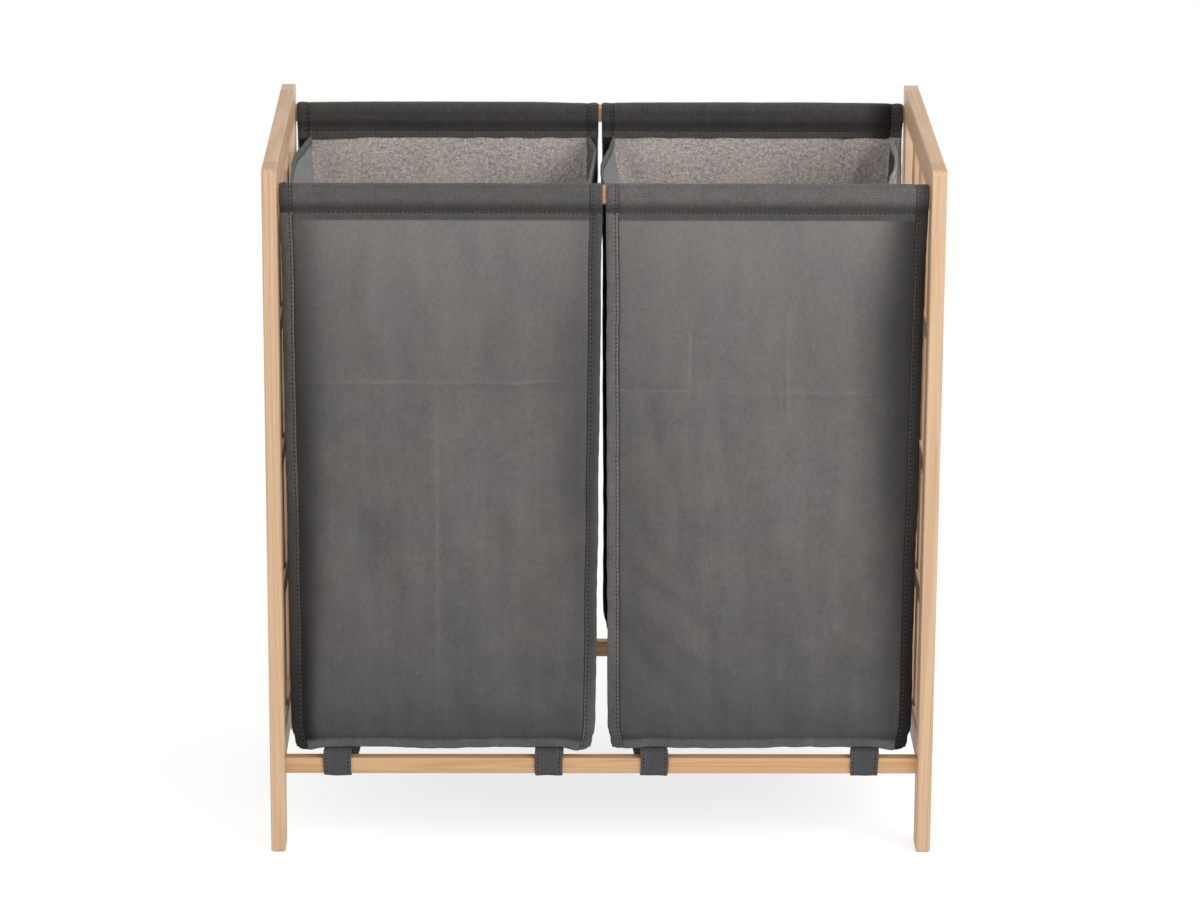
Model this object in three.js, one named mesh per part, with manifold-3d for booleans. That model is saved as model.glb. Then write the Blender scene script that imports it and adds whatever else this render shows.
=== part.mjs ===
import * as THREE from 'three';
import { mergeVertices } from 'three/addons/utils/BufferGeometryUtils.js';
import Module from 'manifold-3d';

const wasm = await Module();
wasm.setup();

// Laundry hamper with two cloth bins that hang side by side in a wooden frame.
// Millimetres, +Z up. The origin lies on the floor under the middle of the frame,
// +X runs to the right as seen from the front and +Y runs to the rear.

// Frame
const FRAME_WIDTH = 640;
const FRAME_DEPTH = 380;
const FRAME_HEIGHT = 680;
const STOCK_THICKNESS = 14;
const LEG_DEPTH = 32;
const RAIL_HEIGHT = 32;
const BOTTOM_RAIL_RISE = 85;
const RUNG_HEIGHT = 16;
const RUNG_PITCH = 132;
const RUNG_COUNT = 3;
const SLAT_THICKNESS = 8;
const SLAT_WIDTH = 20;
const SLAT_COUNT = 3;
const BAR_DEPTH = 13;
const BAR_HEIGHT = 16;
const TOP_BAR_DROP = 19;
const BOTTOM_BAR_RISE = 78;
const EDGE_RADIUS = 1.5;
const TOP_CORNER_RADIUS = 6;
const FOOT_CHAMFER = 2;

// Joinery
const FIT_GAP = 0.3;
const OVERRUN = 1;
const TENON_LENGTH_SHARE = 1 / 3;
const TENON_THICKNESS_SHARE = 0.43;
const TENON_HEIGHT_SHARE = 0.7;
const SLAT_HOUSING_SHARE = 0.25;

// Countersunk screws that hold the bars
const SCREW_LENGTH = 50;
const SCREW_HEAD_RADIUS = 4.4;
const SCREW_HEAD_HEIGHT = 2.6;
const SCREW_SHANK_RADIUS = 2;
const SCREW_TIP_LENGTH = 5;
const SCREW_SINK = 0.4;
const SOCKET_RADIUS = 1.8;
const SOCKET_DEPTH = 1.6;

// Bags
const CLOTH = 1.2;
const SEAM_GAP = 0.3;
const BAG_GAP = 3.4;
const LEG_GAP = 2;
const BAG_TAPER = 4;
const BAG_CORNER_RADIUS = 8;
const BAG_FOOT_CLEARANCE = 8;
const SEAM_WIDTH = 10;
const SEAM_SETBACK = 1;
const HEM_DROP = 10;
const HEM_ALLOWANCE = 6;
const SLEEVE_EASE = 1;
const GUSSET_SAG = 12;
const BASE_SEAM_HEIGHT = 7;
const BOARD_THICKNESS = 3;
const BOARD_CLEARANCE = 1.5;
const TAB_WIDTH = 26.5;
const TAB_SPACING = 204;
const TAB_EASE = 0.6;

// Facets on a rounded edge, and round a screw
const ARC_STEPS = 2;
const TURN_STEPS = 16;
const SOCKET_SIDES = 6;

// Places that several pieces share
const legX = (FRAME_WIDTH - STOCK_THICKNESS) / 2;
const legY = (FRAME_DEPTH - LEG_DEPTH) / 2;
const railLength = FRAME_DEPTH - 2 * LEG_DEPTH;
const barLength = FRAME_WIDTH - 2 * STOCK_THICKNESS;
const topRailZ = FRAME_HEIGHT - RAIL_HEIGHT / 2;
const bottomRailZ = BOTTOM_RAIL_RISE + RAIL_HEIGHT / 2;
const railsMiddleZ = (topRailZ + bottomRailZ) / 2;
const topBarZ = FRAME_HEIGHT - TOP_BAR_DROP - BAR_HEIGHT / 2;
const bottomBarZ = BOTTOM_BAR_RISE + BAR_HEIGHT / 2;
const tenonLength = LEG_DEPTH * TENON_LENGTH_SHARE;
const tenonThickness = STOCK_THICKNESS * TENON_THICKNESS_SHARE;
const slatHousing = RAIL_HEIGHT * SLAT_HOUSING_SHARE;
const slatPitch = (railLength + SLAT_WIDTH) / (SLAT_COUNT + 1);
const bagWidth = (barLength - BAG_GAP - 2 * LEG_GAP) / 2;
const bagX = (bagWidth + BAG_GAP) / 2;
const bagTopHalf = bagWidth / 2;
const bagFootHalf = bagTopHalf - BAG_TAPER;
const bagFootZ = BOTTOM_BAR_RISE + BAR_HEIGHT + BAG_FOOT_CLEARANCE;
const hemSeamZ = topBarZ - BAR_HEIGHT / 2 - HEM_DROP;
const baseZ = bagFootZ + BASE_SEAM_HEIGHT;

const SIDES = [['left', -1], ['right', 1]];
const ENDS = [['front', -1], ['rear', 1]];
const LEVELS = [['top', topBarZ], ['bottom', bottomBarZ]];

// An outline is drawn in two axes and extruded along the third
const AXIS_X = new THREE.Vector3(1, 0, 0);
const AXIS_Y = new THREE.Vector3(0, 1, 0);
const AXIS_Z = new THREE.Vector3(0, 0, 1);
const ALONG_X = new THREE.Matrix4().makeBasis(AXIS_Y, AXIS_Z, AXIS_X);
const ALONG_Y = new THREE.Matrix4().makeBasis(AXIS_X, AXIS_Z, AXIS_Y.clone().negate());
const ALONG_Z = new THREE.Matrix4();

const WOOD = { color: 0xdcb994, roughness: 0.6, metalness: 0 };
const CLOTH_GREY = { color: 0x5b5b58, roughness: 0.95, metalness: 0 };
const BOARD_GREY = { color: 0x77726b, roughness: 0.9, metalness: 0 };
const STEEL = { color: 0xb4b4b2, roughness: 0.35, metalness: 1 };

// Solids

function toSolid(geometry) {
  const bare = geometry.clone();
  bare.deleteAttribute('normal');
  bare.deleteAttribute('uv');
  const merged = mergeVertices(bare);
  return new wasm.Manifold(new wasm.Mesh({
    numProp: 3,
    vertProperties: new Float32Array(merged.attributes.position.array),
    triVerts: new Uint32Array(merged.index.array),
  }));
}

function toGeometry(solid) {
  const mesh = solid.getMesh();
  const geometry = new THREE.BufferGeometry();
  geometry.setAttribute('position', new THREE.BufferAttribute(mesh.vertProperties, 3));
  geometry.setIndex(new THREE.BufferAttribute(mesh.triVerts, 1));
  return geometry;
}

function join(geometries) {
  return toGeometry(geometries.map(toSolid).reduce((sum, next) => sum.add(next)));
}

function cut(geometry, cutters) {
  return toGeometry(cutters.map(toSolid).reduce((rest, cutter) => rest.subtract(cutter), toSolid(geometry)));
}

function common(geometries) {
  return toGeometry(geometries.map(toSolid).reduce((shared, next) => shared.intersect(next)));
}

function extrude(outline, length, direction) {
  const settings = { depth: length, bevelEnabled: false, curveSegments: ARC_STEPS };
  const geometry = new THREE.ExtrudeGeometry(outline, settings);
  geometry.translate(0, 0, -length / 2);
  return geometry.applyMatrix4(direction);
}

function block(sizeX, sizeY, sizeZ, x, y, z) {
  return new THREE.BoxGeometry(sizeX, sizeY, sizeZ).translate(x, y, z);
}

function roundedRectangle(width, height, radius) {
  const x = width / 2 - radius;
  const y = height / 2 - radius;
  const outline = new THREE.Shape();
  outline.absarc(x, y, radius, 0, Math.PI / 2);
  outline.absarc(-x, y, radius, Math.PI / 2, Math.PI);
  outline.absarc(-x, -y, radius, Math.PI, 1.5 * Math.PI);
  outline.absarc(x, -y, radius, 1.5 * Math.PI, 2 * Math.PI);
  return outline;
}

function spread(count, pitch) {
  return Array.from({ length: count }, (_, index) => (index - (count - 1) / 2) * pitch);
}

const rungHeights = spread(RUNG_COUNT, RUNG_PITCH).map((offset) => railsMiddleZ + offset);
const slatPlaces = spread(SLAT_COUNT, slatPitch);

// Side frames: two legs, a rail at the top and the bottom, rungs between them, slats through the rungs

function tenonBlock(height, length, gap, y, z) {
  const thickness = tenonThickness + 2 * gap;
  return block(thickness, length, height * TENON_HEIGHT_SHARE + 2 * gap, 0, y, z);
}

function legSideOutline() {
  const half = LEG_DEPTH / 2;
  const outline = new THREE.Shape();
  outline.moveTo(FOOT_CHAMFER - half, 0);
  outline.lineTo(half - FOOT_CHAMFER, 0);
  outline.lineTo(half, FOOT_CHAMFER);
  outline.lineTo(half, FRAME_HEIGHT - TOP_CORNER_RADIUS);
  const centreY = half - TOP_CORNER_RADIUS;
  outline.absarc(centreY, FRAME_HEIGHT - TOP_CORNER_RADIUS, TOP_CORNER_RADIUS, 0, Math.PI / 2);
  outline.lineTo(-half, FRAME_HEIGHT);
  outline.lineTo(-half, FOOT_CHAMFER);
  return outline;
}

function legFrontOutline() {
  const half = STOCK_THICKNESS / 2;
  const outline = new THREE.Shape();
  outline.moveTo(FOOT_CHAMFER - half, 0);
  outline.lineTo(half - FOOT_CHAMFER, 0);
  outline.lineTo(half, FOOT_CHAMFER);
  outline.lineTo(half, FRAME_HEIGHT - EDGE_RADIUS);
  outline.absarc(half - EDGE_RADIUS, FRAME_HEIGHT - EDGE_RADIUS, EDGE_RADIUS, 0, Math.PI / 2);
  outline.absarc(EDGE_RADIUS - half, FRAME_HEIGHT - EDGE_RADIUS, EDGE_RADIUS, Math.PI / 2, Math.PI);
  outline.lineTo(-half, FOOT_CHAMFER);
  return outline;
}

function legBlank(end) {
  const post = extrude(roundedRectangle(STOCK_THICKNESS, LEG_DEPTH, EDGE_RADIUS), FRAME_HEIGHT, ALONG_Z);
  post.translate(0, 0, FRAME_HEIGHT / 2);
  const fromSide = extrude(legSideOutline(), STOCK_THICKNESS + 2 * OVERRUN, ALONG_X);
  const fromFront = extrude(legFrontOutline(), LEG_DEPTH + 2 * OVERRUN, ALONG_Y);
  const blank = common([post, fromSide, fromFront]);
  return end > 0 ? blank : blank.rotateZ(Math.PI);
}

function mortise(height, end, z) {
  const depth = tenonLength + FIT_GAP + OVERRUN;
  const centre = -end * (LEG_DEPTH / 2 + OVERRUN - depth / 2);
  return tenonBlock(height, depth, FIT_GAP, centre, z);
}

function makeLeg(side, end) {
  const rails = [topRailZ, bottomRailZ].map((z) => mortise(RAIL_HEIGHT, end, z));
  const rungs = rungHeights.map((z) => mortise(RUNG_HEIGHT, end, z));
  const screws = LEVELS.map(([, z]) => screwHole(side).translate(-side * legX, 0, z));
  return cut(legBlank(end), [...rails, ...rungs, ...screws]);
}

function makeCrossPiece(height) {
  const outline = roundedRectangle(STOCK_THICKNESS, height, EDGE_RADIUS);
  const body = extrude(outline, railLength, ALONG_Y);
  return join([body, tenonBlock(height, railLength + 2 * tenonLength, 0, 0, 0)]);
}

function slatSlot(height, y, z) {
  return block(SLAT_THICKNESS + 2 * FIT_GAP, SLAT_WIDTH + 2 * FIT_GAP, height, 0, y, z);
}

function makeRail(towardsSlats) {
  const depth = slatHousing + FIT_GAP + OVERRUN;
  const centre = towardsSlats * (RAIL_HEIGHT / 2 + OVERRUN - depth / 2);
  return cut(makeCrossPiece(RAIL_HEIGHT), slatPlaces.map((y) => slatSlot(depth, y, centre)));
}

function makeRung() {
  const through = RUNG_HEIGHT + 2 * OVERRUN;
  return cut(makeCrossPiece(RUNG_HEIGHT), slatPlaces.map((y) => slatSlot(through, y, 0)));
}

function makeSlat() {
  const length = topRailZ - bottomRailZ - RAIL_HEIGHT + 2 * slatHousing;
  return extrude(roundedRectangle(SLAT_THICKNESS, SLAT_WIDTH, EDGE_RADIUS), length, ALONG_Z);
}

// Bars and the screws that hold them at both ends

function makeBar() {
  const bar = extrude(roundedRectangle(BAR_DEPTH, BAR_HEIGHT, EDGE_RADIUS), barLength, ALONG_X);
  return cut(bar, SIDES.map(([, side]) => screwHole(side)));
}

function turnAboutX(profile, side) {
  return new THREE.LatheGeometry(profile, TURN_STEPS).rotateZ(-side * Math.PI / 2);
}

function screwHole(side) {
  const neck = SCREW_SHANK_RADIUS + FIT_GAP;
  const head = SCREW_HEAD_RADIUS + FIT_GAP;
  const face = FRAME_WIDTH / 2;
  const seat = face - SCREW_SINK;
  const end = seat - SCREW_LENGTH - FIT_GAP;
  const profile = [
    new THREE.Vector2(0, end),
    new THREE.Vector2(neck, end),
    new THREE.Vector2(neck, seat - SCREW_HEAD_HEIGHT),
    new THREE.Vector2(head, seat),
    new THREE.Vector2(head, face + OVERRUN),
    new THREE.Vector2(0, face + OVERRUN),
  ];
  return turnAboutX(profile, side);
}

function makeScrew(side) {
  const top = FRAME_WIDTH / 2 - SCREW_SINK;
  const profile = [
    new THREE.Vector2(0, top - SCREW_LENGTH),
    new THREE.Vector2(SCREW_SHANK_RADIUS, top - SCREW_LENGTH + SCREW_TIP_LENGTH),
    new THREE.Vector2(SCREW_SHANK_RADIUS, top - SCREW_HEAD_HEIGHT),
    new THREE.Vector2(SCREW_HEAD_RADIUS, top),
    new THREE.Vector2(0, top),
  ];
  const socket = new THREE.CylinderGeometry(SOCKET_RADIUS, SOCKET_RADIUS, SOCKET_DEPTH + OVERRUN, SOCKET_SIDES);
  socket.translate(0, top + OVERRUN - (SOCKET_DEPTH + OVERRUN) / 2, 0);
  return cut(turnAboutX(profile, side), [socket.rotateZ(-side * Math.PI / 2)]);
}

// Cloth loops: a sleeve on a top bar, or a tab round a bottom bar, drawn about the bar's centre
// with the seam below it

function traceLoop(path, ease, gather, seamY, cloth) {
  const side = BAR_DEPTH / 2 + ease + cloth;
  const crown = BAR_HEIGHT / 2 + SEAM_GAP + cloth;
  const radius = EDGE_RADIUS + ease + cloth;
  const bendZ = -BAR_HEIGHT / 2;
  const seamZ = bendZ - gather;
  path.moveTo(seamY + cloth, seamZ);
  path.quadraticCurveTo(side, (bendZ + seamZ) / 2, side, bendZ);
  path.absarc(side - radius, crown - radius, radius, 0, Math.PI / 2);
  path.absarc(radius - side, crown - radius, radius, Math.PI / 2, Math.PI);
  path.lineTo(-side, bendZ);
  path.quadraticCurveTo(-side, (bendZ + seamZ) / 2, seamY - cloth, seamZ);
}

function panelProfile() {
  const outline = new THREE.Shape();
  traceLoop(outline, SLEEVE_EASE, HEM_DROP, 0, CLOTH);
  const hemEndZ = hemSeamZ - HEM_ALLOWANCE - topBarZ;
  outline.lineTo(-CLOTH, hemEndZ);
  outline.lineTo(0, hemEndZ);
  outline.lineTo(0, bagFootZ - topBarZ);
  outline.lineTo(CLOTH, bagFootZ - topBarZ);
  const passage = new THREE.Path();
  traceLoop(passage, SLEEVE_EASE, HEM_DROP, 0, 0);
  outline.holes.push(passage);
  return outline;
}

function panelOutline() {
  const outline = new THREE.Shape();
  const cornerX = bagFootHalf - BAG_CORNER_RADIUS;
  const cornerZ = bagFootZ + BAG_CORNER_RADIUS;
  outline.moveTo(bagTopHalf, FRAME_HEIGHT);
  outline.lineTo(-bagTopHalf, FRAME_HEIGHT);
  outline.lineTo(-bagTopHalf, hemSeamZ);
  outline.absarc(-cornerX, cornerZ, BAG_CORNER_RADIUS, Math.PI, 1.5 * Math.PI);
  outline.absarc(cornerX, cornerZ, BAG_CORNER_RADIUS, 1.5 * Math.PI, 2 * Math.PI);
  outline.lineTo(bagTopHalf, hemSeamZ);
  return outline;
}

function makePanel() {
  const sheet = extrude(panelProfile(), bagWidth, ALONG_X).translate(0, legY, topBarZ);
  const sleeveDepth = BAR_DEPTH + 2 * (SLEEVE_EASE + CLOTH + OVERRUN);
  const pattern = extrude(panelOutline(), sleeveDepth, ALONG_Y).translate(0, legY, 0);
  return common([sheet, pattern]);
}

// Right gusset: a web between the panels with a seam turned outwards behind each of them

function slantedStrip(outerInset, innerInset) {
  const topZ = hemSeamZ - HEM_ALLOWANCE - SEAM_GAP;
  const lean = BAG_TAPER * (topZ - bagFootZ) / (hemSeamZ - bagFootZ);
  const outline = new THREE.Shape();
  outline.moveTo(bagFootHalf - innerInset, bagFootZ);
  outline.lineTo(bagFootHalf - outerInset, bagFootZ);
  outline.lineTo(bagFootHalf - outerInset + lean, topZ);
  outline.lineTo(bagFootHalf - innerInset + lean, topZ);
  return outline;
}

function gussetSideOutline() {
  const edgeY = legY;
  const edgeZ = hemSeamZ - HEM_ALLOWANCE - SEAM_GAP;
  const outline = new THREE.Shape();
  outline.moveTo(-edgeY, bagFootZ + BAG_CORNER_RADIUS);
  outline.lineTo(BASE_SEAM_HEIGHT - edgeY, bagFootZ);
  outline.lineTo(edgeY - BASE_SEAM_HEIGHT, bagFootZ);
  outline.lineTo(edgeY, bagFootZ + BAG_CORNER_RADIUS);
  outline.lineTo(edgeY, edgeZ);
  outline.quadraticCurveTo(0, edgeZ - 2 * GUSSET_SAG, -edgeY, edgeZ);
  return outline;
}

function makeGusset() {
  const reach = 2 * (legY - SEAM_GAP);
  const web = extrude(slantedStrip(SEAM_WIDTH, SEAM_WIDTH + CLOTH), reach, ALONG_Y);
  const seams = ENDS.map(([, end]) => {
    const seam = extrude(slantedStrip(SEAM_SETBACK, SEAM_WIDTH + CLOTH), CLOTH, ALONG_Y);
    return seam.translate(0, end * (reach - CLOTH) / 2, 0);
  });
  const pattern = extrude(gussetSideOutline(), 2 * bagWidth, ALONG_X);
  return common([join([web, ...seams]), pattern]);
}

// Base: a flat sheet with its seams turned down inside the panels and gussets, and a stiff board on it

function makeBase() {
  const sizeX = 2 * (bagFootHalf - SEAM_WIDTH - CLOTH - SEAM_GAP);
  const sizeY = 2 * (legY - SEAM_GAP);
  const height = BASE_SEAM_HEIGHT + CLOTH;
  const tray = block(sizeX, sizeY, height, 0, 0, bagFootZ + height / 2);
  const hollowHeight = BASE_SEAM_HEIGHT + OVERRUN;
  const hollowZ = baseZ - hollowHeight / 2;
  return cut(tray, [block(sizeX - 2 * CLOTH, sizeY - 2 * CLOTH, hollowHeight, 0, 0, hollowZ)]);
}

function makeBoard() {
  const sizeX = 2 * (bagFootHalf - SEAM_WIDTH - CLOTH - BOARD_CLEARANCE);
  const sizeY = 2 * (legY - BOARD_CLEARANCE);
  const outline = roundedRectangle(sizeX, sizeY, BAG_CORNER_RADIUS);
  const board = extrude(outline, BOARD_THICKNESS, ALONG_Z);
  return board.translate(0, 0, baseZ + CLOTH + SEAM_GAP + BOARD_THICKNESS / 2);
}

// Tab: a strap round a bottom bar, both ends caught inside the turned-down seam of the base

function tabProfile() {
  const seamY = 2 * (SEAM_GAP + CLOTH);
  const stemEndZ = bottomBarZ - (baseZ - SEAM_GAP);
  const outline = new THREE.Shape();
  traceLoop(outline, TAB_EASE, BAG_FOOT_CLEARANCE, seamY, CLOTH);
  outline.lineTo(seamY - CLOTH, stemEndZ);
  outline.lineTo(seamY + CLOTH, stemEndZ);
  const passage = new THREE.Path();
  traceLoop(passage, TAB_EASE, BAG_FOOT_CLEARANCE, seamY, 0);
  outline.holes.push(passage);
  return outline;
}

function makeTab(x) {
  const strap = extrude(tabProfile(), TAB_WIDTH, ALONG_X).rotateX(Math.PI);
  return strap.translate(x, legY, bottomBarZ);
}

// Assembly

function piece(name, geometry, finish, x, y, z) {
  const mesh = new THREE.Mesh(geometry, new THREE.MeshStandardMaterial(finish));
  mesh.name = name;
  mesh.position.set(x, y, z);
  return mesh;
}

function turned(mesh) {
  mesh.rotation.z = Math.PI;
  return mesh;
}

function makeSideFrame(name, side) {
  const group = new THREE.Group();
  for (const [endName, end] of ENDS) {
    group.add(piece(`${name}_${endName}_leg`, makeLeg(side, end), WOOD, 0, end * legY, 0));
  }
  group.add(piece(`${name}_top_rail`, makeRail(-1), WOOD, 0, 0, topRailZ));
  group.add(piece(`${name}_bottom_rail`, makeRail(1), WOOD, 0, 0, bottomRailZ));
  rungHeights.forEach((z, index) => {
    group.add(piece(`${name}_rung_${index + 1}`, makeRung(), WOOD, 0, 0, z));
  });
  slatPlaces.forEach((y, index) => {
    group.add(piece(`${name}_slat_${index + 1}`, makeSlat(), WOOD, 0, y, railsMiddleZ));
  });
  group.position.x = side * legX;
  return group;
}

function makeBars() {
  const group = new THREE.Group();
  for (const [endName, end] of ENDS) {
    for (const [levelName, z] of LEVELS) {
      group.add(piece(`${endName}_${levelName}_bar`, makeBar(), WOOD, 0, end * legY, z));
      for (const [sideName, side] of SIDES) {
        const name = `${sideName}_${endName}_${levelName}_screw`;
        group.add(piece(name, makeScrew(side), STEEL, 0, end * legY, z));
      }
    }
  }
  return group;
}

function makeBag(name, side) {
  const group = new THREE.Group();
  group.add(turned(piece(`${name}_front_panel`, makePanel(), CLOTH_GREY, 0, 0, 0)));
  group.add(piece(`${name}_rear_panel`, makePanel(), CLOTH_GREY, 0, 0, 0));
  group.add(turned(piece(`${name}_left_gusset`, makeGusset(), CLOTH_GREY, 0, 0, 0)));
  group.add(piece(`${name}_right_gusset`, makeGusset(), CLOTH_GREY, 0, 0, 0));
  group.add(piece(`${name}_base`, makeBase(), CLOTH_GREY, 0, 0, 0));
  group.add(piece(`${name}_base_board`, makeBoard(), BOARD_GREY, 0, 0, 0));
  for (const [sideName, tabSide] of SIDES) {
    const x = tabSide * TAB_SPACING / 2;
    group.add(turned(piece(`${name}_front_${sideName}_tab`, makeTab(-x), CLOTH_GREY, 0, 0, 0)));
    group.add(piece(`${name}_rear_${sideName}_tab`, makeTab(x), CLOTH_GREY, 0, 0, 0));
  }
  group.position.x = side * bagX;
  return group;
}

const hamper = new THREE.Group();
for (const [name, side] of SIDES) {
  hamper.add(makeSideFrame(name, side));
  hamper.add(makeBag(`${name}_bag`, side));
}
hamper.add(makeBars());

export default hamper;
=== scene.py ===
"""Looks of the laundry hamper with two bins. Cloth is shaped in millimetres, and MM turns them into metres."""

import math

import bpy
import numpy as np
from mathutils import Matrix, Vector


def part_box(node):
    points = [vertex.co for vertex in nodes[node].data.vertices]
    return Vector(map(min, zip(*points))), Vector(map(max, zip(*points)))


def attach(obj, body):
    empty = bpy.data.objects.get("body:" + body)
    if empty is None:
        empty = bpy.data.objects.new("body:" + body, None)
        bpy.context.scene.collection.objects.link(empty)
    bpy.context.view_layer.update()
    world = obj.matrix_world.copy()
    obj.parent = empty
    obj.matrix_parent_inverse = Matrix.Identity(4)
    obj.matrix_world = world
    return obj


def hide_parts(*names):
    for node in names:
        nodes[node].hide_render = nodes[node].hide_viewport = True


MM = 0.001

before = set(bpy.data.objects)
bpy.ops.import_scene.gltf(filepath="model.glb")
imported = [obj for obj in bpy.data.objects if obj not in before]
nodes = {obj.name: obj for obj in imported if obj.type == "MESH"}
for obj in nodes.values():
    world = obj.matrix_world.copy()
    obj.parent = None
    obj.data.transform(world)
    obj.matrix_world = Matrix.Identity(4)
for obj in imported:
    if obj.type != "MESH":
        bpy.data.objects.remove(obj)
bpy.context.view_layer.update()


# Node trees


def linear(red, green, blue):
    """A colour given as 0 to 255 in sRGB, as the linear colour that a shader takes."""
    shares = [channel / 255 for channel in (red, green, blue)]
    return (*[s / 12.92 if s <= 0.04045 else ((s + 0.055) / 1.055) ** 2.4 for s in shares], 1)


def tinted(colour, *shares):
    """A linear colour with its red, green and blue each times a share."""
    return (*[channel * share for channel, share in zip(colour, shares)], 1)


class Tree:
    """The node tree of a new material, or of the world, with short calls for the nodes that finishes share."""

    def __init__(self, name, world=None):
        self.owner = world or bpy.data.materials.new(name)
        self.owner.use_nodes = True
        self.tree = self.owner.node_tree
        self.tree.nodes.clear()
        self.output = self.node("OutputWorld" if world else "OutputMaterial")

    def node(self, kind, inputs=None, **settings):
        made = self.tree.nodes.new("ShaderNode" + kind)
        for key, value in settings.items():
            setattr(made, key, value)
        for key, value in (inputs or {}).items():
            if isinstance(value, bpy.types.NodeSocket):
                self.tree.links.new(value, made.inputs[key])
            else:
                made.inputs[key].default_value = value
        return made

    def maths(self, operation, first, second=0.0, third=0.0):
        return self.node("Math", {0: first, 1: second, 2: third}, operation=operation).outputs[0]

    def times(self, first, second):
        return self.maths("MULTIPLY", first, second)

    def total(self, start, *parts):
        """The sum of a start and of parts, each a value and how much of it goes in."""
        for value, amount in parts:
            start = self.maths("MULTIPLY_ADD", value, amount, start)
        return start

    def vector(self, operation, first, second):
        return self.node("VectorMath", {0: first, 1: second}, operation=operation).outputs[0]

    def scaled(self, vector, by):
        return self.vector("MULTIPLY", vector, by)

    def split(self, vector):
        return self.node("SeparateXYZ", {0: vector}).outputs

    def joined(self, x, y, z):
        return self.node("CombineXYZ", {0: x, 1: y, 2: z}).outputs[0]

    def place(self):
        return self.node("TexCoord").outputs["Object"]

    def stored(self, name, output="Vector"):
        return self.node("Attribute", attribute_name=name).outputs[output]

    def noise(self, vector, scale, detail=2.0, roughness=0.5, stretch=None):
        """Noise from 0 to 1, with the vector multiplied by stretch first."""
        if stretch:
            vector = self.scaled(vector, stretch)
        values = {"Vector": vector, "Scale": scale, "Detail": detail, "Roughness": roughness}
        return self.node("TexNoise", values).outputs["Fac"]

    def between(self, value, low, high, to_low=0.0, to_high=1.0):
        """A value moved softly from the range low to high into another, and held at its ends."""
        values = {"Value": value, "From Min": low, "From Max": high, "To Min": to_low, "To Max": to_high}
        return self.node("MapRange", values, interpolation_type="SMOOTHSTEP", clamp=True).outputs[0]

    def mix(self, share, first, second, blend="MIX"):
        inputs = {0: share, 6: first, 7: second}
        return self.node("Mix", inputs, data_type="RGBA", blend_type=blend).outputs[2]

    def coat(self, colour, rough, relief, more=None, rough_at=0.8):
        """Ends the tree in a principled shader. rough is a value and the roughness where it is low and high,
        relief a value, how far it stands out in millimetres and its strength."""
        value, low, high = rough
        height, distance, strength = relief
        bump = self.node("Bump", {"Height": height, "Distance": distance * MM, "Strength": strength})
        values = {"Base Color": colour, "Normal": bump.outputs["Normal"], **(more or {})}
        values["Roughness"] = self.between(value, 0.2, rough_at, low, high)
        return self.finish(self.node("BsdfPrincipled", values).outputs[0])

    def finish(self, shader):
        self.tree.links.new(shader, self.output.inputs["Surface"])
        return self.owner


# Wood

GRAIN_ORDER = {"X": ("Y", "Z", "X"), "Y": ("X", "Z", "Y"), "Z": ("X", "Y", "Z")}
PLACE_STEPS = (0.37, 0.61, 1.13)
SWAY = 0.012
GROWTH_BANDS = 13.0


def wood(name, along, seed, light, dark):
    """Pale wood with its grain along one axis."""
    t = Tree(name)
    place = t.node("TexCoord").outputs
    axes = t.split(place["Object"])
    shift = [seed * step for step in PLACE_STEPS]
    board = t.vector("ADD", t.joined(*[axes[a] for a in GRAIN_ORDER[along]]), shift)
    sway = t.times(t.maths("SUBTRACT", t.noise(board, 2.6, 1.0), 0.5), SWAY)
    bent = t.vector("ADD", board, t.joined(sway, sway, 0.0))
    rings = t.noise(bent, 1.0, 1.0, 0.4, (52, 52, 1.3))
    bands = t.between(t.maths("PINGPONG", t.times(rings, GROWTH_BANDS), 0.5), 0.0, 0.5)
    streaks = t.noise(bent, 1.0, 3.0, 0.65, (420, 420, 4))
    fibres = t.noise(bent, 1.0, 2.0, 0.6, (1900, 1900, 30))
    pores = t.between(t.noise(bent, 1.0, 1.0, 0.5, (1500, 1500, 120)), 0.66, 0.78)
    tint = t.noise(board, 1.0, 1.0, 0.5, (9, 9, 2.4))
    figure = t.total(0.0, (bands, 0.24), (streaks, 0.76))
    colour = t.mix(t.between(figure, 0.3, 0.76), light, dark)
    colour = t.mix(t.between(tint, 0.42, 0.72, 0.0, 0.55), colour, tinted(light, 1.02, 0.95, 0.87))
    colour = t.mix(t.between(fibres, 0.3, 0.7, 0.0, 0.12), colour, dark, "MULTIPLY")
    colour = t.mix(t.times(pores, 0.2), colour, tinted(dark, 0.5, 0.42, 0.34))
    end = t.between(t.maths("ABSOLUTE", t.split(place["Normal"])[along]), 0.8, 0.97)
    year_rings = {"Vector": t.scaled(bent, (1, 1, 0)), "Scale": 120.0, "Distortion": 3.0, "Detail": 2.0}
    year_rings = t.node("TexWave", {**year_rings, "Detail Scale": 60.0}, wave_type="RINGS", rings_direction="Z")
    end_tones = tinted(light, 0.93, 0.89, 0.84), tinted(dark, 0.95, 0.9, 0.84)
    colour = t.mix(end, colour, t.mix(t.between(year_rings.outputs["Fac"], 0.2, 0.9), *end_tones))
    relief = t.total(0.0, (fibres, 0.6), (streaks, 0.4), (pores, -0.7))
    rough = t.total(fibres, (end, 0.4))
    return t.coat(colour, (rough, 0.44, 0.66), (relief, 0.12, 0.5), {"Specular IOR Level": 0.4}, 1.0)


LEG_LIGHT, LEG_DARK = linear(225, 192, 158), linear(209, 171, 134)
# The rear legs take the legs' wood painted paler, as painted light where the lamps reach them less
REAR_LEG_LIT_LIGHT, REAR_LEG_LIT_DARK = linear(240, 214, 186), linear(226, 195, 162)
BAR_LIGHT, BAR_DARK = linear(222, 180, 137), linear(204, 158, 112)


def grain_of(node):
    if "leg" in node or "slat" in node:
        return "Z"
    if "rail" in node or "rung" in node:
        return "Y"
    return "X"


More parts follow.
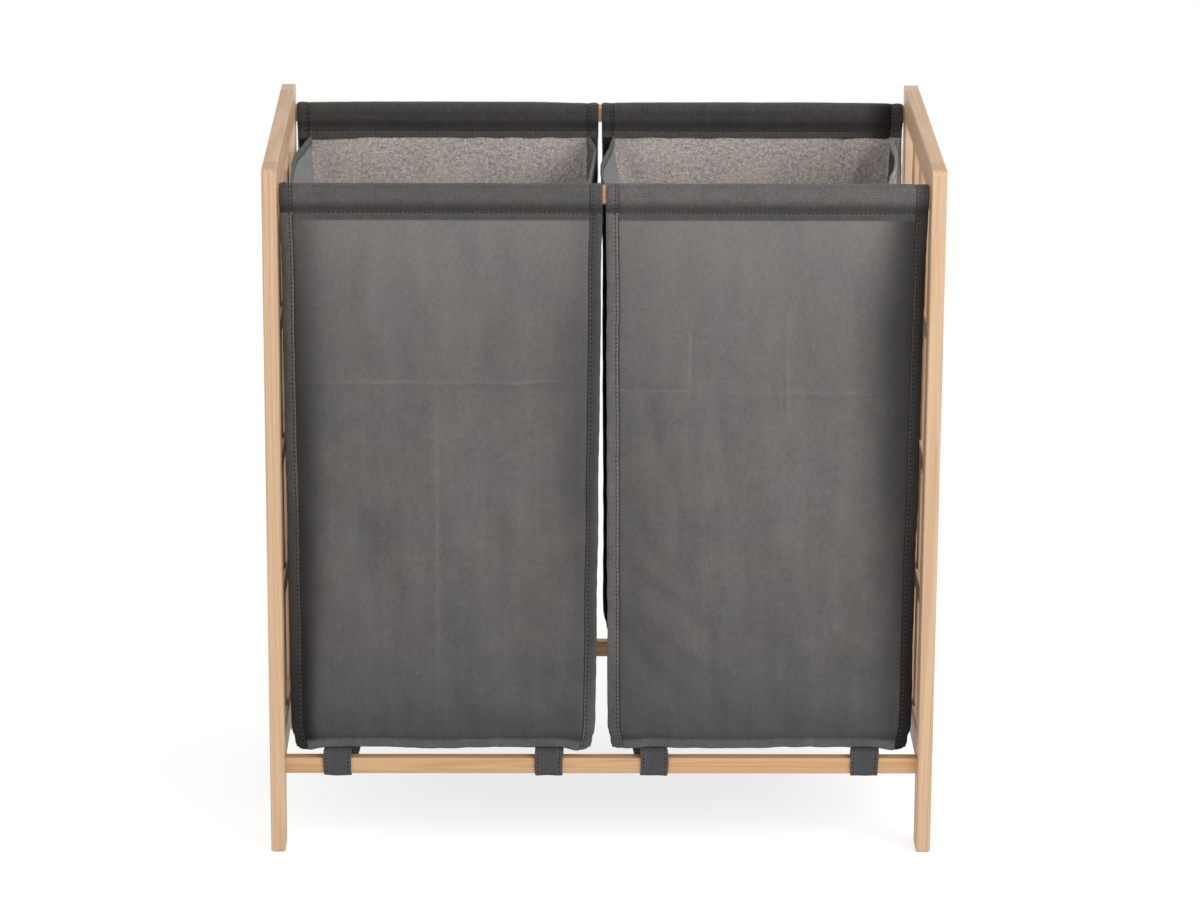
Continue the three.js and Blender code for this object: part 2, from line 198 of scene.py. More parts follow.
def soften(piece, width, segments=2):
    """Rounds a carried-over piece's edges a little, without moving its faces."""
    weld = piece.modifiers.new("weld", "WELD")
    weld.merge_threshold = 0.00002
    bevel = piece.modifiers.new("softened edges", "BEVEL")
    bevel.width = width
    bevel.segments = segments
    bevel.limit_method = "ANGLE"
    bevel.angle_limit = math.radians(35)
    bevel.harden_normals = True
    bevel.use_clamp_overlap = True


def dress(piece, material):
    piece.data.materials.clear()
    piece.data.materials.append(material)


WOOD_EDGE = 0.7 * MM
BOARD_EDGE = 0.5 * MM
SCREW_EDGE = 0.2 * MM

wooden = [n for n in sorted(nodes) if any(w in n for w in ("leg", "rail", "rung", "slat", "_bar"))]
for number, node in enumerate(wooden):
    is_bar = node.endswith("_bar")
    tones = (LEG_LIGHT, LEG_DARK)
    if is_bar:
        tones = (BAR_LIGHT, BAR_DARK)
    # Rear legs: painted light, a paler copy of the legs' wood
    elif "rear_leg" in node:
        tones = (REAR_LEG_LIT_LIGHT, REAR_LEG_LIT_DARK)
    finish = wood("wood of " + node, grain_of(node), number + 1, *tones)
    dress(nodes[node], finish)
    soften(nodes[node], WOOD_EDGE)


# Screws


def steel():
    """Zinc-plated steel."""
    t = Tree("plated steel")
    clouds = t.noise(t.place(), 900.0, 3.0)
    marks = t.noise(t.place(), 1.0, 2.0, stretch=(9000, 500, 500))
    colour = t.mix(clouds, linear(196, 196, 190), linear(148, 149, 147))
    rough = t.total(0.0, (clouds, 0.5), (marks, 0.5))
    return t.coat(colour, (rough, 0.24, 0.46), (marks, 0.03, 0.4), {"Metallic": 1.0})


screw_steel = steel()
for node in sorted(nodes):
    if node.endswith("_screw"):
        dress(nodes[node], screw_steel)
        soften(nodes[node], SCREW_EDGE, 1)


# Cloth

# What the points of a cloth hold: their place in the flat cloth, how sharply they are creased (on the gussets,
# how much painted shade their back takes), how pale they show with the painted light and shade in that, and
# their distance from the nearest stitches, the run along those and the grain's contrast
CUT = "cut"
CREASE_AND_SHADE = "crease_and_shade"
TONE = "tone"
SEAM = "seam"

STITCH = 4.5
HOLE_ACROSS = 0.85
HOLE_ALONG = 1.0
PUCKER_REACH = 3.4
DOT_PITCH = 2.7
BACK_DOT_PITCH = 2.0


def lattice(t, cut, pitch):
    """The embossed dots of the cloth, on a lattice set cornerwise."""
    turn = 2 * math.pi / (pitch * MM)
    phase = t.split(t.scaled(cut, (turn, turn, 0)))
    return t.between(t.times(t.maths("COSINE", phase[0]), t.maths("COSINE", phase[1])), -0.35, 0.75)


def outer_cloth(name, light, dark):
    """Charcoal non-woven cloth: embossed dots, fibres, soft bands, paler creases, lint and needle holes darkened
    as painted shade, all times the tone attribute with its painted light and shade.
    """
    t = Tree(name)
    cut = t.stored(CUT)
    dots = lattice(t, cut, DOT_PITCH)
    fibres = t.noise(cut, 900.0, 3.0, 0.75)
    mottle = t.noise(cut, 260.0, 3.0, 0.7, (1, 0.6, 1))
    bands = t.noise(cut, 55.0, 2.0, 0.6, (1, 0.1, 1))
    blotches = t.noise(cut, 42.0, 2.0, 0.6, (1, 0.7, 1))
    cast = t.noise(t.vector("ADD", cut, (5.3, 2.9, 0)), 14.0, 2.0)
    lint = t.between(t.noise(cut, 330.0, 1.0), 0.79, 0.84, 0.0, 0.3)
    height = t.split(cut)["Y"]
    patchy = t.times(t.total(-0.5, (bands, 0.5), (blotches, 0.5)), t.between(height, 0.5, 0.28, 0.35, 1.0))
    seam = t.split(t.stored(SEAM))
    to_hole = t.maths("PINGPONG", seam["Y"], STITCH * MM / 2)
    across, along = [
        t.maths("POWER", t.maths("DIVIDE", way, half * MM), 2.0)
        for way, half in ((seam["X"], HOLE_ACROSS), (to_hole, HOLE_ALONG))
    ]
    hole = t.between(t.total(across, (along, 1.0)), 1.3, 0.2)
    pucker = t.between(seam["X"], PUCKER_REACH * MM, 0.4 * MM)
    pucker = t.times(pucker, t.between(to_hole, 0.0, STITCH * MM / 2))
    grain = t.total(-0.52, (dots, -0.75), (fibres, 1.0), (mottle, 0.64), (patchy, 1.0))
    grain = t.maths("MULTIPLY_ADD", grain, t.total(0.75, (seam["Z"], 0.75)), 0.95)
    grain = t.total(t.maths("MAXIMUM", grain, 0.15), (pucker, 0.3))
    # Needle holes darkened as painted shade, times the tone attribute's painted light and shade
    shade = t.times(t.times(grain, t.total(1.0, (hole, -0.72))), t.stored(TONE, "Fac"))
    pale = tinted(light, 1.5, 1.5, 1.48)
    colour = t.mix(t.between(cast, 0.3, 0.7), light, dark)
    colour = t.mix(t.between(height, 0.12, 0.03), colour, FOOT_HUE)
    # Paler along creases; on the gussets' outsides, paler as painted light where their backs take painted shade
    colour = t.mix(t.between(t.stored(CREASE_AND_SHADE, "Fac"), 0.1, 1.0, 0.0, 0.3), colour, pale)
    colour = t.scaled(t.mix(lint, colour, pale), t.joined(shade, shade, shade))
    relief = t.total(0.0, (fibres, 0.35), (dots, -1.0), (hole, -3.0), (pucker, 2.0))
    sheen = {"Specular IOR Level": 0.25, "Sheen Weight": 0.05, "Sheen Roughness": 0.5}
    return t.coat(colour, (fibres, 0.78, 0.94), (relief, 0.14, 0.6), sheen)


def lining(name, pale, grey, speck):
    """The cloth's pale back: a speckle of short fibres, with a warm cast here and there."""
    t = Tree(name)
    cut = t.stored(CUT)
    specks = t.noise(cut, 820.0, 4.0, 0.85)
    fine = t.noise(t.vector("ADD", cut, (3.1, 1.7, 0.4)), 240.0, 3.0, 0.7)
    patches = t.noise(cut, 38.0, 3.0, 0.6)
    both = t.total(0.0, (specks, 0.72), (fine, 0.28))
    colour = t.mix(t.between(both, 0.5 - speck, 0.5 + speck), grey, pale)
    colour = t.mix(t.between(patches, 0.45, 0.75, 0.0, 0.4), colour, tinted(pale, 0.86, 0.78, 0.7))
    sheen = {"Specular IOR Level": 0.25, "Sheen Weight": 0.1}
    return t.coat(colour, (specks, 0.8, 0.95), (specks, 0.3, 0.5), sheen)


def plain_back(name, light, dark):
    """The gussets' smooth back: an even grey with faint clouds and a fine tooth, darkened towards near black as
    painted shade where the crease-and-shade attribute asks.
    """
    t = Tree(name)
    cut = t.stored(CUT)
    clouds = t.noise(cut, 30.0, 3.0, 0.6)
    tooth = t.noise(cut, 1700.0, 2.0, 0.6)
    colour = t.mix(t.between(clouds, 0.3, 0.7), light, dark)
    colour = t.mix(t.between(tooth, 0.3, 0.7, 0.0, 0.2), colour, dark, "MULTIPLY")
    # Painted shade: near black where the gusset's back lies in shade
    colour = t.mix(t.stored(CREASE_AND_SHADE, "Fac"), colour, linear(44, 40, 36))
    relief = t.total(0.0, (tooth, 0.5), (lattice(t, cut, BACK_DOT_PITCH), -0.4))
    sheen = {"Specular IOR Level": 0.3, "Sheen Weight": 0.15}
    return t.coat(colour, (tooth, 0.74, 0.88), (relief, 0.08, 0.4), sheen)


def thread_material():
    t = Tree("sewing thread")
    strands = {"Vector": t.place(), "Scale": 900.0, "Distortion": 1.0}
    twist = t.node("TexWave", strands, bands_direction="DIAGONAL").outputs["Fac"]
    fuzz = t.noise(t.place(), 2500.0, 2.0)
    colour = t.mix(twist, linear(66, 66, 64), linear(40, 40, 39))
    colour = t.mix(t.between(fuzz, 0.4, 0.8, 0.0, 0.3), colour, linear(84, 84, 82))
    return t.coat(colour, (fuzz, 0.5, 0.75), (twist, 0.05, 0.5))


def board_material():
    """Grey-brown fibreboard."""
    t = Tree("fibreboard")
    fibres = t.noise(t.place(), 420.0, 4.0, 0.75, (1, 1, 3))
    flecks = t.between(t.noise(t.place(), 900.0, 1.0), 0.68, 0.76)
    clouds = t.noise(t.place(), 22.0, 3.0)
    colour = t.mix(t.between(fibres, 0.3, 0.7), linear(128, 121, 112), linear(104, 97, 90))
    colour = t.mix(t.between(clouds, 0.4, 0.7, 0.0, 0.35), colour, linear(92, 88, 84))
    colour = t.mix(t.times(flecks, 0.5), colour, linear(156, 144, 128))
    return t.coat(colour, (fibres, 0.7, 0.9), (fibres, 0.1, 0.5))


CLOTH_LIGHT, CLOTH_DARK = linear(109, 106, 102), linear(105, 103, 101)
FOOT_HUE = linear(103, 104, 105)
panel_cloth = outer_cloth("panel cloth", CLOTH_LIGHT, CLOTH_DARK)
panel_back = lining("speckled lining", linear(238, 228, 222), linear(132, 123, 119), 0.1)
gusset_back = plain_back("gusset back", linear(168, 169, 171), linear(154, 155, 158))
thread = thread_material()
board_finish = board_material()


# Shapes of cloth, in millimetres

ENDS = {-1: "front", 1: "rear"}
SIDES = {-1: "left", 1: "right"}
ENDLESS = 1e9


def waves(seed, u, v, wave_u, wave_v, terms=8):
    """Smooth random waves of about -1 to 1 over u and v, with lengths near wave_u and wave_v."""
    source = np.random.default_rng(seed)
    total = np.zeros(np.broadcast(u, v).shape)
    for _ in range(terms):
        over_u = 2 * math.pi / wave_u * source.uniform(0.45, 1.55) * source.choice([-1, 1])
        over_v = 2 * math.pi / wave_v * source.uniform(0.2, 1.6) * source.choice([-1, 1])
        total = total + np.sin(over_u * u + over_v * v + source.uniform(0, 2 * math.pi))
    return total / math.sqrt(terms)


def ripple(seed, along, length, terms):
    """Smooth random waves over one length alone."""
    return waves(seed, along, 0 * along, length, ENDLESS, terms)


def smooth(value, low, high):
    """A soft step from 0 at low to 1 at high, also where low is above high."""
    share = np.clip((value - low) / (high - low), 0, 1)
    return share * share * (3 - 2 * share)


def bell(value, width, power=2):
    """1 at a value of 0, and softly down to 0 on both sides."""
    return np.exp(-((value / width) ** power))


def fold(u, v, at, angle, length, width, height):
    """A ridge, or a groove where height is negative, that starts and ends softly."""
    turn = math.radians(angle)
    along = (u - at[0]) * math.cos(turn) + (v - at[1]) * math.sin(turn)
    aside = -(u - at[0]) * math.sin(turn) + (v - at[1]) * math.cos(turn)
    return height * bell(aside, width) * bell(along, length / 2, 4)


def run_along(line):
    """The length along a line of points, at each of them."""
    return np.concatenate([[0], np.cumsum(np.linalg.norm(np.diff(line, axis=0), axis=1))])


def weighed(t, low, high, first, second):
    """A point between two others, placed as t lies between low and high."""
    return (high - t) / (high - low) * first + (t - low) / (high - low) * second


def rounded_path(points, step):
    """A smooth path through 2-D points and the lengths along it. step may be a function of the share gone by."""
    p = np.array(points, float)
    ends = np.vstack([2 * p[0] - p[1], p, 2 * p[-1] - p[-2]])
    fine = []
    for i in range(1, len(ends) - 2):
        a, b, c, d = near = ends[i - 1 : i + 3]
        knots = np.cumsum([0] + [max(np.linalg.norm(q - r), 1e-6) ** 0.5 for q, r in ((b, a), (c, b), (d, c))])
        count = max(3, int(np.linalg.norm(c - b) / PATH_STEP))
        for t in np.linspace(knots[1], knots[2], count, endpoint=False):
            first = [weighed(t, knots[j], knots[j + 1], near[j], near[j + 1]) for j in range(3)]
            second = [weighed(t, knots[j], knots[j + 2], first[j], first[j + 1]) for j in range(2)]
            fine.append(weighed(t, knots[1], knots[2], *second))
    fine = np.array(fine + [p[-1]])
    gone = run_along(fine)
    if callable(step):
        marks = [0.0]
        while marks[-1] < gone[-1]:
            marks.append(marks[-1] + step(marks[-1] / gone[-1]))
        marks = np.array(marks) * gone[-1] / marks[-1]
    else:
        marks = np.linspace(0, gone[-1], int(round(gone[-1] / step)) + 1)
    return np.stack([np.interp(marks, gone, fine[:, k]) for k in range(2)], -1), marks


def normals_of_path(path):
    """The unit normals of a 2-D path, to the right of its run."""
    tangent = np.gradient(path, axis=0)
    tangent /= np.linalg.norm(tangent, axis=1, keepdims=True)
    return np.stack([tangent[:, 1], -tangent[:, 0]], -1)


def stood_off(path, outward, stand):
    """How far out and up a grid lies, whose rows follow a path and stand off it."""
    return [path[:, k][:, None] + outward[:, k][:, None] * stand for k in range(2)]


def surface_normals(points):
    """The unit normal at each point of a grid."""
    normal = np.cross(np.gradient(points, axis=1), np.gradient(points, axis=0))
    return normal / np.maximum(np.linalg.norm(normal, axis=-1, keepdims=True), 1e-12)


def nearest_row(rows):
    """The distance from the nearest of several rows of stitches, and the run along it."""
    distance, run = rows[0]
    for other, other_run in rows[1:]:
        nearer = other < distance
        distance, run = np.where(nearer, other, distance), np.where(nearer, other_run, run)
    return distance, run


def run_from(line, start):
    """The length along a line of points, counted from one of them."""
    return run_along(line) - run_along(line[: start + 1])[-1]


def nearest(values, wanted):
    return int(np.argmin(np.abs(values - wanted)))


def box_mm(node):
    low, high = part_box(node)
    return np.array(low) / MM, np.array(high) / MM


def middle_mm(node):
    low, high = box_mm(node)
    return (low + high) / 2


# Pieces of cloth and thread


def placed(name, data):
    """A new object in the scene."""
    made = bpy.data.objects.new(name, data)
    bpy.context.scene.collection.objects.link(made)
    return made


def smooth_mesh(name, points, faces, *materials):
    mesh = bpy.data.meshes.new(name)
    mesh.from_pydata((points * MM).tolist(), [], faces)
    mesh.polygons.foreach_set("use_smooth", [True] * len(mesh.polygons))
    for material in materials:
        mesh.materials.append(material)
    return mesh


NO_SEAM = (9, 0)


def sheet_object(name, points, cut, crease_and_shade, tone, flip, thickness, materials, seam=NO_SEAM, contrast=1.0):
    """A piece of cloth from a grid of points, with what its points hold. seam is the distance from the
    nearest stitches and the run along them."""
    rows, columns = points.shape[:2]
    index = np.arange(rows * columns).reshape(rows, columns)
    corners = [index[:-1, :-1], index[:-1, 1:], index[1:, 1:], index[1:, :-1]]
    quads = np.stack(corners[::-1] if flip else corners, -1).reshape(-1, 4)
    mesh = smooth_mesh(name, points.reshape(-1, 3), quads.tolist(), *materials)
    held = {
        CUT: (cut[..., 0] * MM, cut[..., 1] * MM, 0),
        SEAM: (seam[0] * MM, seam[1] * MM, contrast),
        CREASE_AND_SHADE: (crease_and_shade,),
        TONE: (tone,),
    }
    for attribute, parts in held.items():
        kind, field = ("FLOAT", "value") if len(parts) == 1 else ("FLOAT_VECTOR", "vector")
        values = np.stack([np.broadcast_to(part, (rows, columns)) for part in parts], -1)
        mesh.attributes.new(attribute, kind, "POINT").data.foreach_set(field, values.astype(np.float32).ravel())
    piece = placed(name, mesh)
    shell = piece.modifiers.new("cloth thickness", "SOLIDIFY")
    shell.thickness = thickness * MM
    shell.offset = 0
    shell.material_offset = 1
    return piece


STITCH_LENGTH = 2.9
THREAD_RADIUS = 0.5
THREAD_SINK = 0.1
THREAD_SIDES = 5
THREAD_RINGS = 5
ARCH_START = 0.12
ARCH_RISE = 1.35
THREAD_END_SHARE = 0.55

# The faces of one stitch: a tube and its two ends
corner = np.arange(THREAD_SIDES)
after = np.roll(corner, -1)
tube = np.stack([corner, after, after + THREAD_SIDES, corner + THREAD_SIDES], -1)
last = (THREAD_RINGS - 1) * THREAD_SIDES
STITCH_FACES = [quad for first in range(0, last, THREAD_SIDES) for quad in (first + tube).tolist()]
STITCH_FACES += [corner[::-1].tolist(), (last + corner).tolist()]


def thread_object(name, lines):
    """Thread along lines of (points, normals), each stitch an arched tube whose ends go into the cloth."""
    arch = np.sin(np.linspace(ARCH_START, math.pi - ARCH_START, THREAD_RINGS))
    thick = THREAD_RADIUS * (THREAD_END_SHARE + (1 - THREAD_END_SHARE) * arch)
    vertices, faces = [], []
    for line in lines:
        gone = run_along(line[0])
        for k in range(max(1, int(gone[-1] / STITCH))):
            at = k * STITCH + (STITCH - STITCH_LENGTH) / 2 + np.linspace(0, STITCH_LENGTH, THREAD_RINGS)
            middle, up = [np.stack([np.interp(at, gone, axis) for axis in values.T], -1) for values in line]
            up /= np.linalg.norm(up, axis=1, keepdims=True)
            along = np.gradient(middle, axis=0)
            along /= np.maximum(np.linalg.norm(along, axis=1, keepdims=True), 1e-9)
            aside = np.cross(along, up)
            middle = middle + up * ((arch * ARCH_RISE - 1) * THREAD_RADIUS - THREAD_SINK)[:, None]
            ring = []
            for a in np.arange(THREAD_SIDES) * 2 * math.pi / THREAD_SIDES:
                ring.append(middle + (aside * math.cos(a) + up * math.sin(a)) * thick[:, None])
            base = len(vertices) * THREAD_RINGS * THREAD_SIDES
            vertices.append(np.stack(ring, 1).reshape(-1, 3))
            faces += [tuple(base + corner for corner in face) for face in STITCH_FACES]
    return placed(name, smooth_mesh(name, np.concatenate(vertices), faces, thread))


CLOTH = 1.2
STRIP = 11.4
SIDE_STITCH = 8.6
EDGE_ZONE = 17.0
EDGE_TAPER = 4.0
PATH_STEP = 0.2

BAR_Y, BAR_Z = middle_mm("rear_top_bar")[1:]
LOW_BAR_Z = middle_mm("rear_bottom_bar")[2]
panel_low, panel_high = box_mm("left_bag_rear_panel")
PANEL_WIDTH = panel_high[0] - panel_low[0]
PANEL = BAR_Y + 0.6
FOOT = panel_low[2]
FOOT_SEAM = FOOT + 9.5
FOOT_RISE = 1.7
HEM_SEAM = BAR_Z - 18
TAB_REACH = 102.0

# Folds, as (middle, angle, length, width, height). The narrow ones are creases.
LEFT_BAG_FOLDS = [
    ((-4, 314), 90, 330, 4.5, -0.9), ((-4, 471), 0, 300, 3.0, 1.0), ((60, 462), -2, 180, 7.0, -0.8),
    ((-68, 247), 94, 190, 7.5, -1.3), ((-81, 318), -57, 150, 17, -2.8), ((-113, 287), -70, 130, 12, 2.0),
    ((101, 494), 80, 110, 13, -1.6), ((62, 237), 96, 150, 12, -1.3), ((111, 198), 78, 140, 9, 1.4),
    ((28, 188), 88, 130, 10, 1.2), ((-93, 178), 62, 60, 5, 1.0), ((86, 326), 20, 90, 7, 0.8),
    ((-71, 563), 80, 120, 10, 1.0), ((-20, 573), 96, 110, 11, 1.0), ((34, 568), 84, 130, 10, 1.1),
    ((97, 148), -35, 70, 7, -1.0), ((-121, 139), 50, 60, 8, -1.4),
]
RIGHT_BAG_FOLDS = [
    ((-109, 462), 0, 90, 3.0, -1.1), ((-71, 494), 88, 80, 4.0, -0.9), ((52, 461), 0, 180, 3.2, 0.7),
    ((22, 494), 90, 110, 3.4, 0.8), ((-105, 420), -76, 90, 7, -1.8), ((-22, 366), -82, 260, 8, 1.3),
    ((-113, 318), -62, 90, 9, -2.6), ((-99, 259), -38, 110, 10, -2.8), ((-113, 194), -50, 100, 10, -2.6),
    ((-89, 223), -42, 100, 10, 2.0), ((-48, 188), 92, 110, 9, -1.5), ((67, 227), 84, 200, 12, -1.3),
    ((85, 214), -38, 60, 5, 0.9), ((10, 237), 90, 220, 13, 1.3), ((-52, 573), 92, 130, 11, 1.0),
    ((44, 563), 88, 140, 12, 1.0), ((101, 553), 84, 120, 10, 0.9), ((119, 139), -55, 70, 8, -1.4),
]
CREASE_WIDTH = 5
FOLD_HEIGHT = 1.45


def random_folds(seed, count, half, low, high):
    """Folds in random places, most of them steep, as hanging cloth has."""
    source = np.random.default_rng(seed)
    made = []
    for _ in range(count):
        place = (source.uniform(-half, half), source.uniform(low, high))
        steep = source.normal(90, 24)
        length, width = source.uniform(90, 260), source.uniform(5, 14)
        made.append((place, steep, length, width, source.uniform(0.8, 2.0) * source.choice([-1, 1])))
    return made


EDGE_AT = (0.05, 0.2, 0.5, 0.8, 1)

# How a panel lies: how its edges waver, how far its middle stands out, the roll beside its seam strips,
# and its waves
EDGE_INSET, EDGE_WAVES = 0.4, ((7, 150, 0.32), (9, 26, 0.14))
EDGE_TRIM = 0.15
CORNERS_DRAWN_IN = 3.2
BILLOW, BILLOW_REACH = 3.2, 110
ROLL, ROLL_WIDTH = 1.3, 7
STRIP_CURL_SHARE = 0.25
BROAD_WAVES, LONG_WAVES, HEM_WAVES, FINE_WAVES = 1.3, 0.4, 0.7, 0.09
GATHER_REACH = 80


class Panel:
    """A panel at u across from the bag's middle and z up: its edges, relief and tone, the tone with painted
    light and shade. curls and tones have an entry for the left edge and one for the right."""

    def __init__(self, seed, folds, curls, tones, lit):
        self.seed, self.folds, self.curls, self.tones, self.lit = seed, folds, curls, tones, lit

    def half(self, z, side):
        """Half the width at a height: edges that taper to the foot and waver a little."""
        plain = PANEL_WIDTH / 2 - EDGE_TAPER * (1 - np.clip((z - FOOT) / (HEM_SEAM - FOOT), 0, 1))
        inset = EDGE_INSET
        for turn, length, height in EDGE_WAVES:
            inset = inset + height * ripple(self.seed * turn + side, z, length, 5)
        calm = smooth(z, HEM_SEAM - 3, HEM_SEAM - 33)
        return plain - inset * calm - EDGE_TRIM - CORNERS_DRAWN_IN * smooth(z, FOOT + 29, FOOT) ** 1.5

    def from_edges(self, u, z):
        return self.half(z, 0) + u, self.half(z, 1) - u

    def out(self, u, z):
        """How far the flat part stands out."""
        edges = self.from_edges(u, z)
        loose = smooth(z, HEM_SEAM - 3, HEM_SEAM - 83) * smooth(z, FOOT + 3, FOOT + 87)
        hang = smooth(z, HEM_SEAM - 2, HEM_SEAM - 43)
        stand = 0 * u
        for edge, (width_top, width_foot, depth) in zip(edges, self.curls):
            width = width_foot + (width_top - width_foot) * smooth(z, 200, 600)
            stand -= depth * loose * np.clip(1 - edge / width, 0, 1) ** 2
            stand -= STRIP_CURL_SHARE * depth * hang * np.clip(1 - edge / STRIP, 0, 1) ** 1.5
            rolled = np.sin(np.clip((edge - STRIP) / ROLL_WIDTH, 0, 1) * math.pi / 2) ** 0.7
            stand += ROLL * hang * rolled * smooth(edge, 60, 12)
        stand += BILLOW * loose * np.clip((np.minimum(*edges) - STRIP) / BILLOW_REACH, 0, 1) ** 0.8
        stand += waves(self.seed, u, z, 95, 420) * BROAD_WAVES * loose
        stand += waves(self.seed + 1, u, z, 34, 170) * LONG_WAVES * hang
        gathered = np.exp(-(HEM_SEAM - z) / GATHER_REACH)
        stand += ripple(self.seed + 2, u, 40, 6) * HEM_WAVES * hang * gathered
        stand += waves(self.seed + 3, u, z, 15, 22) * FINE_WAVES * hang
        free = smooth(z, HEM_SEAM, HEM_SEAM - 18), smooth(z, FOOT + 5, FOOT + 22)
        for *where, height in self.folds:
            stand += fold(u, z, *where, FOLD_HEIGHT * height) * free[0] * free[1]
        return stand - 0.6 * bell(z - FOOT_SEAM, 1.6) + 1.0 * bell(z - FOOT_SEAM - 6, 4.5)

    def creases(self, u, z):
        """How much a place lies on a sharp fold, from 0 to 1."""
        total = 0 * u
        for *where, width, _ in self.folds:
            if width < CREASE_WIDTH:
                total = np.maximum(total, fold(u, z, *where, width * 0.55, 1.0))
        return np.where(z < HEM_SEAM, total, 0)

    def tone(self, u, z, single):
        """How pale the cloth shows: painted light where one layer lets it through, and painted shade where it is
        doubled or turns to the sides.
        """
        up = (z - FOOT) / (HEM_SEAM - FOOT)
        tone = np.interp(z, LIT_AT, self.lit) * single
        doubled = np.interp(up, *DOUBLED_TONE)
        for edge, parts in zip(self.from_edges(u, z), self.tones):
            strip, shade, reach, broad, rim = [np.interp(up, EDGE_AT, part) for part in parts]
            on_strip = smooth(edge, STRIP + 1.2, STRIP)
            inside = np.clip(edge - STRIP, 0, None)
            # Painted highlights on the strip's rim and on the ridge beside its stitches
            strip = strip * (1 + rim * bell(edge - 1, 3)) * (1 + STITCH_RIDGE_HIGHLIGHT * bell(edge - 10.1, 0.9))
            doubled = doubled * (1 - on_strip) + strip * on_strip
            # Painted shade beside the strip, and a broad painted shade further in
            tone *= 1 - shade * bell(inside, reach, 2.5) * (1 - on_strip)
            tone *= 1 - broad * bell(inside, 75)
        return tone + doubled * (1 - single)


def sleeve_path():
    """The panel's middle line, seen from its side: up the panel, round the bar and down past the hem's seam."""
    foot = [(-0.6, 0.0), (-0.3, 1.4), (-0.1, 4.5), (0, 13), *[(0, z) for z in range(37, 518, 40)]]
    seam = [(0, -7), (-0.1, -2.5), (-0.1, 0)]
    front = [(1.7, -15.8), (5.6, -11), (7.8, -6.5), (8.1, -1), (8.0, 4.2), (6.7, 7.6), (3.6, 8.8), (0, 8.95)]
    back = [(-3.6, 8.8), (-6.7, 7.6), (-8.0, 4.2), (-8.1, -1), (-7.8, -6.5), (-5.1, -12)]
    hem_end = [(-1.8, -16.2), (-0.8, -18), (-0.8, -21), (-0.9, -24.8)]
    path = [(PANEL + out, FOOT + up) for out, up in foot]
    path += [(PANEL + out, HEM_SEAM + up) for out, up in seam]
    return path + [(BAR_Y + out, BAR_Z + up) for out, up in front + back + hem_end]


SIDE_HEM = [0, 0.35, 0.9, 1.8, 3.2, 4.8, 6.4, 7.8, 8.6, 9.4, 10.3, 11.0, 11.4, 11.8, 12.3, 13.2, 14.8, 17.0]
MIDDLE_COLUMNS = 78

# Distances from the left edge of a panel, close together in the side hems
middle = np.linspace(EDGE_ZONE, PANEL_WIDTH - EDGE_ZONE, MIDDLE_COLUMNS)[1:-1]
PANEL_COLUMNS = np.concatenate([SIDE_HEM, middle, (PANEL_WIDTH - np.array(SIDE_HEM))[::-1]])


def row_step(share):
    """Rows lie close together round the bar and at the panel's foot."""
    if share < 0.03:
        return 1.0
    return 2.8 if share < 0.84 else 1.05


def foot_drop(seed, u, edge, lump):
    """How far the lower edge hangs below its place: least at the tabs, most beside the corners."""
    held = bell(np.abs(u) - TAB_REACH, 20)
    hang = 0.9 + 0.6 * ripple(seed, u, 150, 4) + 0.12 * ripple(seed + 1, u, 40, 5)
    return np.clip(hang, 0.1, 2.2) * (1 - held) + lump * bell(edge - 13, 9) * (1 - 0.6 * held) - FOOT_RISE


GROOVE, GROOVE_WIDTH = 1.15, 0.65
CORNER_RADIUS = 7.0
LAST_SHARE = 0.9
ALLOWANCE = 6.4
SLACK = 1.3
CORNER_LUMP, FLAT_CORNER_LUMP = 2.1, 0.4


